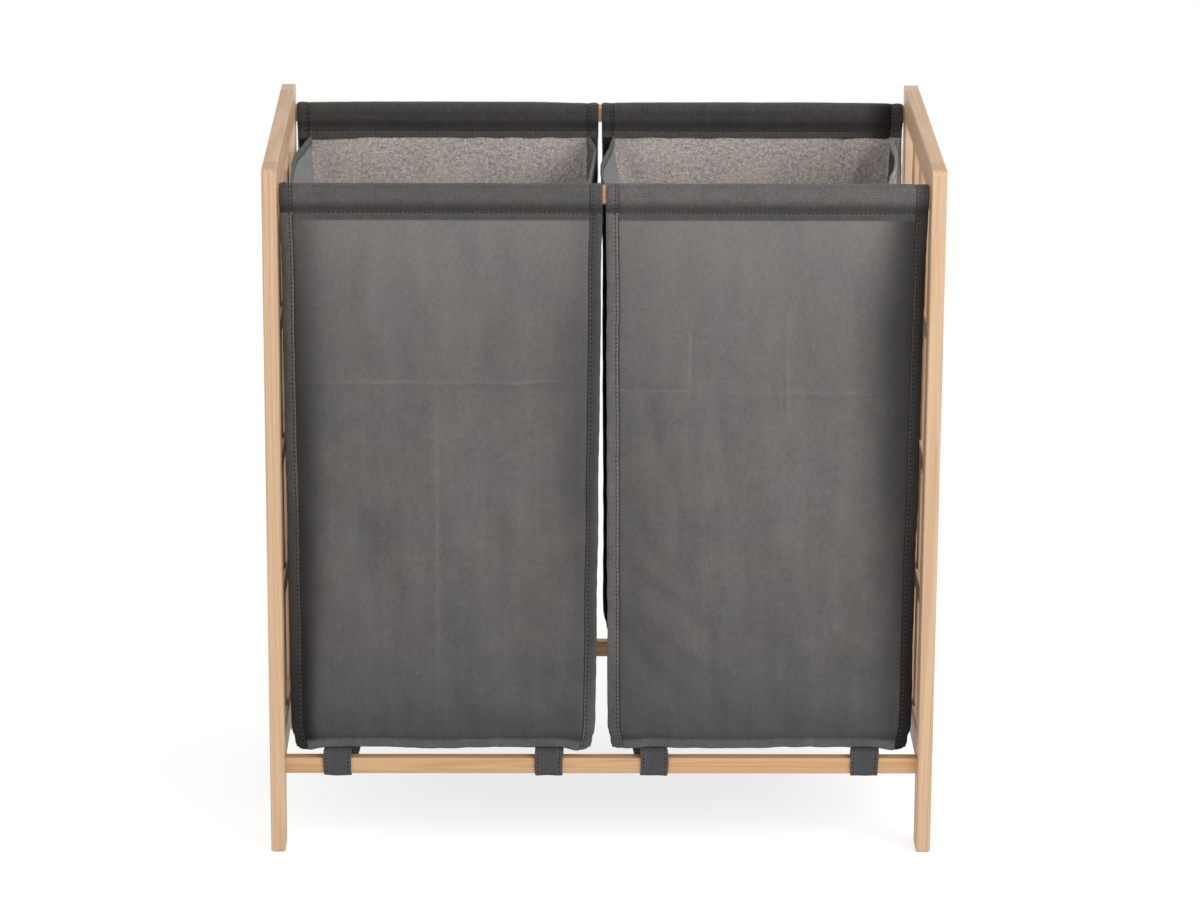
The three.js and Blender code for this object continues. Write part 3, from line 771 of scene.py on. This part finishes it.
def make_panel(bag, centre, end, panel):
    """A front or rear panel with its sleeve. end is -1 for the front and 1 for the rear."""
    path, gone = rounded_path(sleeve_path(), row_step)
    late = gone > gone[-1] * LAST_SHARE
    seam_row, inner_row = [nearest(path[:, 1] + 1e4 * other, HEM_SEAM) for other in (late, ~late)]
    z = path[:, 1][:, None] + 0 * PANEL_COLUMNS
    s = gone[:, None] + 0 * z
    half_left, half_right = [panel.half(path[:, 1], side)[:, None] for side in (0, 1)]
    from_left, from_right = PANEL_COLUMNS + 0 * z, PANEL_WIDTH - PANEL_COLUMNS + 0 * z
    share = (from_left - EDGE_ZONE) / (PANEL_WIDTH - 2 * EDGE_ZONE)
    u = (EDGE_ZONE - half_left) * (1 - share) + (half_right - EDGE_ZONE) * share
    u = np.where(from_right <= EDGE_ZONE, half_right - from_right, u)
    u = np.where(from_left <= EDGE_ZONE, from_left - half_left, u)
    edge = np.minimum(from_left, from_right)
    on_flat = (s <= gone[seam_row]) * 1.0
    to_seam, to_inner = np.abs(s - gone[seam_row]), np.abs(s - gone[inner_row])
    below_seam = gone[seam_row] - s
    groove = bell(edge - STRIP, GROOVE_WIDTH)
    sewn = bell(edge - SIDE_STITCH, 0.8)

    # Relief of the side strips, of the hem's seams and of the sleeve
    detail = -GROOVE * groove * (0.45 + 0.55 * on_flat)
    detail += 0.35 * bell(edge - 4, 3.5)
    detail -= 0.4 * sewn * (1 + 0.4 * ripple(panel.seed + 5, s, 9, 4))
    detail -= 0.5 * bell(edge, 0.7)
    detail += 0.28 * waves(panel.seed + 6, s, edge, 17, 40, 6) * bell(edge - 5, 5) * smooth(edge, 0, 3)
    pucker = ripple(panel.seed + 8, u, 10, 6)
    detail -= (0.5 + 0.12 * pucker) * bell(to_seam, 1.2)
    detail += 0.3 * pucker * np.exp(-to_seam / 5) * (to_seam > 1)
    detail -= 0.35 * bell(to_inner, 1.2)
    detail += 0.28 * pucker * np.exp(-to_inner / 5)
    detail += 0.45 * smooth(below_seam, ALLOWANCE + 1, ALLOWANCE) * on_flat
    slack = SLACK * np.cos(u / PANEL_WIDTH * math.pi) ** 0.7 * smooth(z, BAR_Z - 4, BAR_Z + 8) * (end > 0)
    sleeve = smooth(s, gone[seam_row], gone[seam_row] + 9) * smooth(s, gone[-1], gone[-1] - 12)
    unrest = 0.18 * waves(panel.seed + 9, u, s, 110, 60) + 0.06 * waves(panel.seed + 10, u, s, 17, 24)
    detail += sleeve * (unrest + 0.2 + slack)
    out, up = stood_off(path, normals_of_path(path), panel.out(u, z) * on_flat + detail)

    # Rounded lower corners, a lower edge that sags between the tabs, and the hem's free end
    corner = np.clip(1 - edge / CORNER_RADIUS, 0, 1)
    lift = CORNER_RADIUS * (1 - np.sqrt(np.clip(1 - corner**2, 0, 1)))
    lump = np.where((u < 0) & (bag == "right_bag"), FLAT_CORNER_LUMP, CORNER_LUMP)
    up = up + (lift - foot_drop(panel.seed + 12, u, edge, lump)) * smooth(z, FOOT + 25, FOOT + 1)
    hem_wave = ripple(panel.seed + 13, u, 45, 6) * 0.5
    if (bag, end) == ("left_bag", 1):
        hem_wave = hem_wave - 2.4 * smooth(u, -60, -140)
    up = up + hem_wave * smooth(s, gone[-1] - 9, gone[-1])
    points = np.stack([centre + u, end * out, up], -1)

    # Tones of the sleeve, of the flat part and of the seams, mostly painted light and shade
    over_foot = smooth(z, FOOT + 7.5, FOOT + 11.5)
    single = smooth(edge, STRIP, STRIP + 1.2) * smooth(below_seam, ALLOWANCE, 8.2) * over_foot
    outside = smooth(path[:, 0], BAR_Y - 3, BAR_Y + 3)[:, None]
    if end < 0:
        # Painted shade on the front sleeve's lower half, which faces down
        sleeve_tone = SLEEVE_TONE[bag] * (1 - 0.5 * smooth(z, BAR_Z - 1, BAR_Z - 13) * outside)
    else:
        # Painted light and shade in bands on the rear sleeve's inner side
        inner_tone = np.interp(z - HEM_SEAM, INNER_SLEEVE_AT, INNER_SLEEVE)
        sleeve_tone = REAR_SLEEVE_TONE * (1 + (inner_tone - 1) * (1 - outside))
    on_strip = smooth(edge, STRIP + 1, STRIP)
    sleeve_tone *= 1 - 0.12 * on_strip
    # Painted shadows at the sleeves' ends
    for distance, (dark, reach) in zip((from_left, from_right), SLEEVE_END_SHADOWS[bag, end]):
        sleeve_tone *= 1 - dark * smooth(distance, reach, reach / 4) * (1 - on_strip * (end > 0))
    tone = np.where(on_flat > 0, panel.tone(u, z, single), sleeve_tone)
    # Painted shade in the side grooves, along the stitches, in the lower corners over the foot seam, along the
    # hem's seams and along the foot seam
    tone *= (1 - GROOVE_SHADE * groove) * (1 - STITCH_SHADE * sewn)
    corner_shade = bell(z - FOOT_SEAM - 3, 4) * bell(edge, 34) * smooth(edge, STRIP, STRIP + 1)
    tone *= 1 - 0.35 * corner_shade * on_flat
    tone *= (1 - 0.12 * bell(to_seam, 1.1)) * (1 - 0.12 * bell(to_inner, 1.1))
    tone *= 1 - 0.08 * bell(z - FOOT_SEAM, 1.2) * on_flat

    normals = surface_normals(points) * -end
    face = points + normals * CLOTH / 2
    rows, lines = [], []
    for column, inward in ((SIDE_STITCH, from_left), (PANEL_WIDTH - SIDE_STITCH, from_right)):
        c = nearest(PANEL_COLUMNS, column)
        rows.append((np.abs(inward - SIDE_STITCH), run_from(face[:, c], 4)[:, None] + 0 * z))
        lines.append((face[4:-2, c], normals[4:-2, c]))
    for r, distance in ((seam_row, to_seam), (inner_row, to_inner)):
        rows.append((distance, run_from(face[r], 3)[None, :] + 0 * z))
        lines.append((face[r, 3:-3], normals[r, 3:-3]))
    node = f"{bag}_{ENDS[end]}_panel"
    sides = [panel_cloth, panel_back]
    held = np.stack([from_left, s], -1), panel.creases(u, z) * on_flat, tone
    contrast = np.where(on_flat > 0, 0.5 * (1 - single), 1.0)
    piece = sheet_object(node + "_cloth", points, *held, end > 0, CLOTH, sides, nearest_row(rows), contrast)
    return node, piece, lines


GUSSET_SHARES = [0, 0.05, 0.09, 0.14, 0.2, 0.26, 0.34, 0.38, 0.42, 0.5, 0.6, 0.75, 1]
TURNED_IN = [(-0.5, 0.45), (-1.15, 0.2), (-1.45, -0.8), (-1.5, -2.6), (-1.5, -4.6), (-1.5, -6.6), (-1.4, -8.2)]
WEB_COLUMNS = 96
SEAM_SHARES = np.linspace(0.1, 1, 7)
SEAM_INSET = 10.6
SEAM_BACK = 1.35
TURNED_SEAM = 0.35
TURNED_STEP = 1.6
TOP_ZONE, TOP_ROWS = 36, 19
ROOM, EXTRA_ROOM, ROOM_SOFTNESS = 150.3, 2.9, 0.5
GUSSET_TONE = 0.86
TURNED_HEM_PAINTED_LIGHT = 1.15


def softened(values):
    """Values with their corners rounded off."""
    kernel = np.array([1, 4, 6, 4, 1]) / 16
    for _ in range(3):
        values = np.convolve(np.pad(values, 2, "edge"), kernel, "valid")
    return values


def make_gusset(bag, centre, side, panels, seed):
    """A side of a bag: two seams behind the panels' edges and a web between them, its upper edge turned in."""
    bulge_top, bulge_low, sag, drop, insets, (seam_light_and_shade, web_light_and_shade, shaded) = GUSSETS[bag, side]
    front, rear = panels[-1], panels[1]
    edge_side = 0 if side < 0 else 1
    top = HEM_SEAM - 7 - drop
    levels = [*np.arange(FOOT + 1, top - TOP_ZONE, 4.0), *np.linspace(top - TOP_ZONE, top, TOP_ROWS)]
    steps = [(level, 0, (0, 0)) for level in levels]
    steps += [(top, number, offset) for number, offset in enumerate(TURNED_IN, 1)]
    web = np.linspace(0, 1, WEB_COLUMNS)
    arch = np.sin(math.pi * web)
    from_seam = np.minimum(web, 1 - web)
    high = softened(np.interp(web, GUSSET_SHARES, bulge_top)) * smooth(from_seam, 0, 0.03)
    low = bulge_low * arch**0.8
    depth_at = (0.5 - web) * 2 * BAR_Y
    has_room = centre * side > 0 or (bag, side) == ("right_bag", -1)

    def seam_depth(panel, z, inset):
        return PANEL + panel.out(side * (panel.half(z, edge_side) - inset), z) - SEAM_BACK

    points = np.zeros((len(steps), len(web) + 2 * len(SEAM_SHARES), 3))
    cut = np.zeros((*points.shape[:2], 2))
    for r, (level, folded, (turned_x, turned_z)) in enumerate(steps):
        dip = sag * arch**1.15 * np.interp(level, [FOOT, top - 136, top], [0, 0.25, 1]) ** 2.2
        lift = (drop + 0.9) * smooth(level, top - 40, top)
        z = level - dip + lift * smooth(from_seam, 0.07, 0)
        half = rear.half(z, edge_side) * (1 - web) + front.half(z, edge_side) * web
        inset = insets[0] + (insets[1] - insets[0]) * smooth(level, top, top - 50)
        inset = SEAM_INSET + (inset - SEAM_INSET) * smooth(level, 250, 480)
        upper = smooth(level, 325, 607)
        bulge = (low * (1 - upper) + high * upper) * smooth(level, FOOT, FOOT + 86)
        ruffle = waves(seed, depth_at, z, 85, 300) + waves(seed + 1, depth_at, z, 30, 120) * 0.35
        calm = 1 - 0.6 * smooth(level, top - TOP_ZONE, top)
        bulge = bulge + ruffle * arch**0.5 * smooth(level, FOOT, FOOT + 76) * calm
        y = seam_depth(rear, z, inset - 0.4) * (1 - web) - seam_depth(front, z, inset - 0.4) * web
        room = ROOM + EXTRA_ROOM * smooth(z, 530, 550) * smooth(np.abs(y), 152, 138) * has_room
        x = room - ROOM_SOFTNESS * np.log1p(np.exp((room - (half - inset + bulge)) / ROOM_SOFTNESS))
        z_seam = np.full(len(SEAM_SHARES), level + lift) + turned_z
        seam_out = SEAM_SHARES * (inset - 1.4)
        seams = []
        for panel, end, order in ((rear, 1, seam_out), (front, -1, seam_out[::-1])):
            depth = seam_depth(panel, z_seam, order) + (TURNED_SEAM if folded else 0)
            seams.append(np.stack([panel.half(z_seam, edge_side) - order, end * depth, z_seam], -1))
        row = np.concatenate([seams[0], np.stack([x + turned_x, y, z + turned_z], -1), seams[1]])
        row[:, 0] = centre + side * row[:, 0]
        points[r] = row
        cut[r, :, 0] = run_along(row)
        cut[r, :, 1] = level + folded * TURNED_STEP
    strip = np.ones(len(SEAM_SHARES))
    in_seam = np.concatenate([strip, 0 * web, strip])
    # Painted light and shade on the web and seams, and painted light on the turned-in hem
    tone = GUSSET_TONE + (web_light_and_shade - GUSSET_TONE) * smooth(points[..., 2], 150, 600)
    tone = tone * (1 - in_seam) + seam_light_and_shade * in_seam
    for first in (-2, 2):
        tone[len(levels) + first :] *= TURNED_HEM_PAINTED_LIGHT
    normals = surface_normals(points) * -side
    rows, lines = [], []
    for r in (len(steps) - 3, len(levels) - 4):
        rows.append((np.abs(cut[..., 1] - cut[r, :, 1]), cut[r, :, 0] + 0 * cut[..., 1]))
        lines.append((points[r, 8:-8] + normals[r, 8:-8] * CLOTH / 2, normals[r, 8:-8]))
    node = f"{bag}_{SIDES[side]}_gusset"
    sides = [panel_cloth, gusset_back]
    held = cut, shaded, tone
    piece = sheet_object(node + "_cloth", points, *held, side > 0, CLOTH, sides, nearest_row(rows), 0.4)
    return node, piece, lines


BASE_HALF_X, BASE_HALF_Y, BASE_CORNER = 135.4, BAR_Y - 1.8, 8.0
BASE_BORDER, BORDER_STEPS = 9, 9
BORDER_DROP = 4.4
BASE_TONE = 0.85


def base_places(half, steps):
    """Places from -half to half, close together in both borders."""
    border, inner = half - BASE_BORDER, half - 12
    low, high = np.linspace(-half, -border, BORDER_STEPS), np.linspace(border, half, BORDER_STEPS)
    return np.concatenate([low, np.linspace(-inner, inner, steps), high])


def make_base(bag, centre, seed):
    """The bag's floor, which sags a little, its border turned down behind the panels' feet."""
    u, v = np.meshgrid(base_places(BASE_HALF_X, 80), base_places(BASE_HALF_Y, 84))
    straight = BASE_HALF_X - BASE_CORNER, BASE_HALF_Y - BASE_CORNER
    over = [np.clip(np.abs(way) - limit, 0, None) for way, limit in zip((u, v), straight)]
    in_corner = (over[0] > 0) & (over[1] > 0)
    shrink = np.where(in_corner, np.maximum(*over) / np.maximum(np.hypot(*over), 1e-9), 1.0)
    x, y = [
        np.sign(way) * (np.minimum(np.abs(way), limit) + past * shrink)
        for way, limit, past in zip((u, v), straight, over)
    ]
    edge = np.minimum(BASE_HALF_X - np.abs(u), BASE_HALF_Y - np.abs(v))
    z = FOOT + 7.4 - 1.1 * smooth(np.clip(edge / 120, 0, 1), 0, 1)
    z = z - 0.5 * np.abs(waves(seed, u, v, 120, 140)) * smooth(edge, 4, 40)
    z = z - BORDER_DROP * smooth(edge, 5.5, 0) ** 0.8
    points = np.stack([centre + x, y, z], -1)
    node = f"{bag}_base"
    sides = [panel_cloth, panel_back]
    held = np.stack([u, v], -1), 0.0, BASE_TONE
    piece = sheet_object(node + "_cloth", points, *held, True, 1.0, sides)
    return node, piece


def tab_path():
    """A tab's middle line, seen from its side: out under the panel's foot, round the bar and up again."""
    down = [(-3, 18.2), (-2.6, 16.6), (-0.7, 15.5), (3, 15.0), (6.2, 13.8), (7.6, 11), (7.75, 6)]
    below = [(7.7, 0), (7.7, -5), (6.8, -8.4), (4, -9.7), (0, -9.8), (-4, -9.7), (-6.8, -8.4)]
    again = [(-7.7, -5), (-7.7, 0), (-7.7, 6), (-7.4, 11), (-6.2, 15.6), (-4.8, 18.2)]
    return [(BAR_Y + out, LOW_BAR_Z + up) for out, up in down + below + again]


TAB_HALF = 13.1
TAB_STITCH = 10.4
TAB_CLOTH = 1.3
TAB_TONE = 0.56
TAB_COLUMNS = [1.5, 4.5, 7, 9.4, TAB_STITCH, 11.3, 12.2, 12.8, TAB_HALF]


def make_tab(bag, centre, end, side, lean, seed):
    """A strap round a bottom bar. lean moves its inner run sideways."""
    path, gone = rounded_path(tab_path(), 1.1)
    across = np.array([-place for place in TAB_COLUMNS[::-1]] + TAB_COLUMNS)
    share = gone / gone[-1]
    u = across[None, :] + 0 * share[:, None]
    s = gone[:, None] + 0 * u
    sewn = bell(np.abs(u) - TAB_STITCH, 0.7)
    stand = 0.22 * waves(seed, u, s, 22, 40, 6) - 0.35 * sewn - 0.35 * bell(np.abs(u) - TAB_HALF, 0.5) + 0.25
    shift = lean * smooth(share, 0.52, 1.0) + 0.5 * ripple(seed + 1, gone, 60, 3)
    out, up = stood_off(path, -normals_of_path(path), stand)
    x = u * (1 + 0.015 * np.sin(s / 9)) + shift[:, None]
    points = np.stack([centre + x, end * out, up], -1)
    normals = surface_normals(points) * end
    face = points + normals * TAB_CLOTH / 2
    seam = np.abs(np.abs(u) - TAB_STITCH), run_from(face[:, 0], 8)[:, None] + 0 * u
    node = f"{bag}_{ENDS[end]}_{SIDES[side]}_tab"
    # Darker along the stitches, as painted shade
    held = np.stack([u, s], -1), 0.0, TAB_TONE * (1 - 0.15 * sewn)
    piece = sheet_object(node + "_strap", points, *held, end < 0, TAB_CLOTH, [panel_cloth] * 2, seam, 0.35)
    columns = [nearest(across, place) for place in (-TAB_STITCH, TAB_STITCH)]
    return node, piece, [(face[8:-6, c], normals[8:-6, c]) for c in columns]


# How the panels' edges curl back away from the other bag and towards it: width at the top and at the
# foot, and depth
OUTER_CURL = {"left_bag": (24, 34, 6.5), "right_bag": (24, 58, 9.5)}
INNER_CURL = {"left_bag": (14, 18, 2.6), "right_bag": (12, 14, 1.0)}
FOLDS = {"left_bag": LEFT_BAG_FOLDS, "right_bag": RIGHT_BAG_FOLDS}

# Each gusset: how far its web stands out at the top, at GUSSET_SHARES from the rear to the front, and
# below, its sag, its drop under the hem, its insets at the top and under it, and the painted light and shade
# of its seams and its web and the painted shade on its back
GUSSETS = {
    ("left_bag", -1): (
        [0, 6, 10, 12.5, 14, 14.6, 13.8, 13.2, 12.5, 11, 9, 5.5, 0], 6.5, 5, 4, (12.5, 15), (0.12, 1, 0),
    ),
    ("left_bag", 1): (
        [0, 3.5, 5.9, 7.2, 5.6, 4.2, 3.0, 2.2, 0.6, -1.5, -3, -2.5, 0], 4.2, 4, 1, (9.5, 10.5), (0.25, 1, 0.6),
    ),
    ("right_bag", -1): (
        [0, 3.3, 5.5, 8.5, 12.2, 13.3, 13.4, 13, 11.2, 10.5, 9, 6, 0], 6.0, 5, 5, (11, 17), (0.1, 1, 0),
    ),
    ("right_bag", 1): (
        [0, 1.2, 2.4, 2.6, 1.6, 0.4, -2.8, -5.4, -9.2, -12, -13, -10, 0], 6.4, 5, 0, (11, 12.5), (2.2, 2.4, 1.0),
    ),
}

# Painted light and shade along each edge at EDGE_AT: the tone of its seam strip, the painted shade beside it,
# that shade's reach, a broad painted shade, and the painted highlight that makes the strip's rim paler
FLAT = (0, 0, 0, 0, 0)
EDGE_TONES = {
    "left_bag": (
        ((0.15, 0.34, 0.58, 0.85, 0.64), (0.88, 0.8, 0.7, 0.58, 0.5), (11, 16, 23, 25, 22),
         (0, 0.06, 0.14, 0.12, 0.03), FLAT),
        ((0.56, 0.42, 0.36, 0.34, 0.44), (0.06, 0.16, 0.28, 0.24, 0.12), (12, 18, 28, 24, 14),
         (0, 0.03, 0.08, 0.12, 0.06), (0.3, 0.4, 0.55, 0.55, 0.3)),
    ),
    "right_bag": (
        ((0.6, 0.82, 0.92, 0.92, 0.86), (0.08, 0.24, 0.22, 0.12, 0.15), (40, 50, 50, 45, 40), FLAT, FLAT),
        ((0.06, 0.16, 0.3, 0.32, 0.28), (0.34, 0.5, 0.7, 0.8, 0.78), (18, 26, 38, 40, 24),
         (0, 0, 0, 0.05, 0), FLAT),
    ),
}
REAR_TONES = [((0.5, 0.54, 0.6, 0.63, 0.65), (0.3, 0.24, 0.15, 0.12, 0.1), (18, 16, 14, 13, 12), FLAT, FLAT)] * 2

# How pale the flat part shows at heights, where one layer lets light through
LIT_AT = [102, 112, 149, 216, 289, 361, 433, 484, 545, 604, 640]
LIT_THROUGH = {
    "left_bag": [0.42, 0.46, 0.68, 0.84, 0.91, 0.96, 0.98, 1.02, 1.14, 1.28, 1.34],
    "right_bag": [0.47, 0.51, 0.7, 0.86, 0.94, 1.01, 1.04, 1.08, 1.17, 1.3, 1.35],
}
# Tones where the cloth is doubled, by share of the height: painted shade where less light comes through, paler
# in the foot's roll as painted light
DOUBLED_TONE = (0, 0.012, 0.028, 1), (0.86, 0.78, 0.46, 0.56)
# The painted highlight on the strips' stitch ridge, and the painted shade along stitches and in grooves
STITCH_RIDGE_HIGHLIGHT, STITCH_SHADE, GROOVE_SHADE = 0.32, 0.24, 0.68

# Painted shade on the sleeves: their tones, the painted light and shade on the rear ones' inner side at
# heights over the seam, and the painted shadows at their left and right ends, as (darker by, reach)
SLEEVE_TONE = {"left_bag": 0.7, "right_bag": 0.87}
REAR_SLEEVE_TONE = 0.46
INNER_SLEEVE_AT = [-7, -3, 0.5, 2.5, 5.5, 9, 15, 21]
INNER_SLEEVE = [1.55, 1.5, 1.5, 1.8, 1.1, 0.78, 0.93, 1.0]
SLEEVE_END_SHADOWS = {
    ("left_bag", -1): ((0.35, 14), (0, 1)),
    ("left_bag", 1): ((0.1, 20), (0, 1)),
    ("right_bag", -1): ((0, 1), (0.5, 13)),
    ("right_bag", 1): ((0, 1), (0.88, 44)),
}

# How far the inner run of each tab leans, by end and side
TAB_LEANS = {
    "left_bag": {(-1, -1): 8.0, (-1, 1): 1.5, (1, -1): -4.0, (1, 1): 3.0},
    "right_bag": {(-1, -1): -7.0, (-1, 1): 1.0, (1, -1): 4.5, (1, 1): -3.0},
}


def settle(piece, bag, *replaced):
    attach(piece, bag)
    if replaced:
        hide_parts(*replaced)


for bag, seed in (("left_bag", 11), ("right_bag", 47)):
    centre = middle_mm(f"{bag}_front_panel")[0]
    curls = OUTER_CURL[bag], INNER_CURL[bag]
    if bag == "right_bag":
        curls = curls[::-1]
    rear_folds = random_folds(seed, 14, 130, 150, 600)
    panels = {
        -1: Panel(seed, FOLDS[bag], curls, EDGE_TONES[bag], LIT_THROUGH[bag]),
        1: Panel(seed + 20, rear_folds, curls, REAR_TONES, LIT_THROUGH[bag]),
    }
    made = [make_panel(bag, centre, end, panel) for end, panel in panels.items()]
    made += [make_gusset(bag, centre, side, panels, seed + 60 + side) for side in SIDES]
    made.append((*make_base(bag, centre, seed + 80), []))
    for (end, side), lean in TAB_LEANS[bag].items():
        middle = middle_mm(f"{bag}_{ENDS[end]}_{SIDES[side]}_tab")[0]
        made.append(make_tab(bag, middle, end, side, lean, seed + 90 + 3 * end + side))
    for node, piece, _ in made:
        settle(piece, bag, node)
    settle(thread_object(f"{bag}_stitches", sum([lines for *_, lines in made], [])), bag)
    board = nodes[f"{bag}_base_board"]
    dress(board, board_finish)
    soften(board, BOARD_EDGE)


# Floor, light and camera

SHADOW_SHARE = 0.4
FLOOR_GLOW = 1.85
WHITE_FROM, WHITE_AT = 0.5, 1.3
FLOOR_RADIUS = 14.0
FLOOR_CORNERS = 96
WHITE = (1, 1, 1, 1)
SKY_LOW, SKY_HIGH = (1.3, 1.3, 1.31, 1), (0.27, 0.27, 0.28, 1)


def seen_white(t):
    """1 for the rays that look at the scene, straight or in a reflection."""
    path = t.node("LightPath").outputs
    either = t.maths("MAXIMUM", path["Is Camera Ray"], path["Is Glossy Ray"])
    return t.maths("MAXIMUM", either, path["Is Transmission Ray"])


def floor_material():
    """A pale floor that keeps the shadow near the object and runs out into white."""
    t = Tree("pale floor")
    far = t.node("VectorMath", {0: t.place()}, operation="LENGTH").outputs["Value"]
    colour = t.mix(t.noise(t.place(), 60.0, 3.0), linear(240, 240, 239), linear(236, 236, 236))
    lit = t.node("BsdfDiffuse", {"Color": colour}).outputs[0]
    white, lift = [t.node("Emission", {"Color": WHITE, "Strength": s}).outputs[0] for s in (1.0, FLOOR_GLOW)]
    near = t.node("MixShader", {0: SHADOW_SHARE, 1: lit, 2: lift}).outputs[0]
    shown = t.node("MixShader", {0: t.between(far, WHITE_FROM, WHITE_AT), 1: near, 2: white}).outputs[0]
    return t.finish(t.node("MixShader", {0: seen_white(t), 1: lit, 2: shown}).outputs[0])


floor_mesh = bpy.data.meshes.new("floor")
turns = [2 * math.pi * k / FLOOR_CORNERS for k in range(FLOOR_CORNERS)]
rim = [(FLOOR_RADIUS * math.cos(a), FLOOR_RADIUS * math.sin(a), 0) for a in turns]
floor_mesh.from_pydata(rim, [], [tuple(range(FLOOR_CORNERS))])
floor_mesh.materials.append(floor_material())
floor = placed("floor", floor_mesh)


bpy.context.scene.world = bpy.data.worlds.new("studio")
w = Tree("studio", bpy.context.scene.world)
height = w.split(w.node("TexCoord").outputs["Generated"])["Z"]
glow = w.mix(w.between(height, 0.0, 1.0), SKY_LOW, SKY_HIGH)
light, white = [w.node("Background", {"Color": colour, "Strength": 1.0}).outputs[0] for colour in (glow, WHITE)]
w.finish(w.node("MixShader", {0: seen_white(w), 1: light, 2: white}).outputs[0])


def softbox(name, place, target, size, watts):
    lamp = bpy.data.lights.new(name, "AREA")
    lamp.shape = "RECTANGLE"
    lamp.size, lamp.size_y = size
    lamp.energy = watts
    holder = placed(name, lamp)
    holder.location = place
    holder.rotation_mode = "QUATERNION"
    holder.rotation_quaternion = (Vector(target) - Vector(place)).to_track_quat("-Z", "Y")


softbox("key", (1.8, -1.9, 2.1), (0, -0.1, 0.45), (2.2, 1.8), 36)
softbox("front", (-0.8, -2.8, 1.7), (0, 0, 0.4), (1.6, 1.2), 4)

CAMERA_PLACE = Vector((-0.0581, -4.590, 1.7143))
CAMERA_PITCH, CAMERA_TURN, CAMERA_ROLL = (math.radians(a) for a in (16.535, 0.718, 0.300))
CAMERA_LENS = 145.33
SENSOR_WIDTH = 36
CLIP_START, CLIP_END = 0.1, 60

ahead = Vector((math.sin(CAMERA_TURN), math.cos(CAMERA_TURN), 0))
forward = ahead * math.cos(CAMERA_PITCH) - Vector((0, 0, math.sin(CAMERA_PITCH)))
level = Vector((math.cos(CAMERA_TURN), -math.sin(CAMERA_TURN), 0))
upward = level.cross(forward)
right = level * math.cos(CAMERA_ROLL) + upward * math.sin(CAMERA_ROLL)
upward = upward * math.cos(CAMERA_ROLL) - level * math.sin(CAMERA_ROLL)
lens = bpy.data.cameras.new("camera")
lens.lens = CAMERA_LENS
lens.sensor_width = SENSOR_WIDTH
lens.clip_start, lens.clip_end = CLIP_START, CLIP_END
camera = placed("camera", lens)
camera.matrix_world = Matrix.Translation(CAMERA_PLACE) @ Matrix((right, upward, -forward)).transposed().to_4x4()
bpy.context.scene.camera = camera
bpy.context.scene.view_settings.view_transform = "Standard"
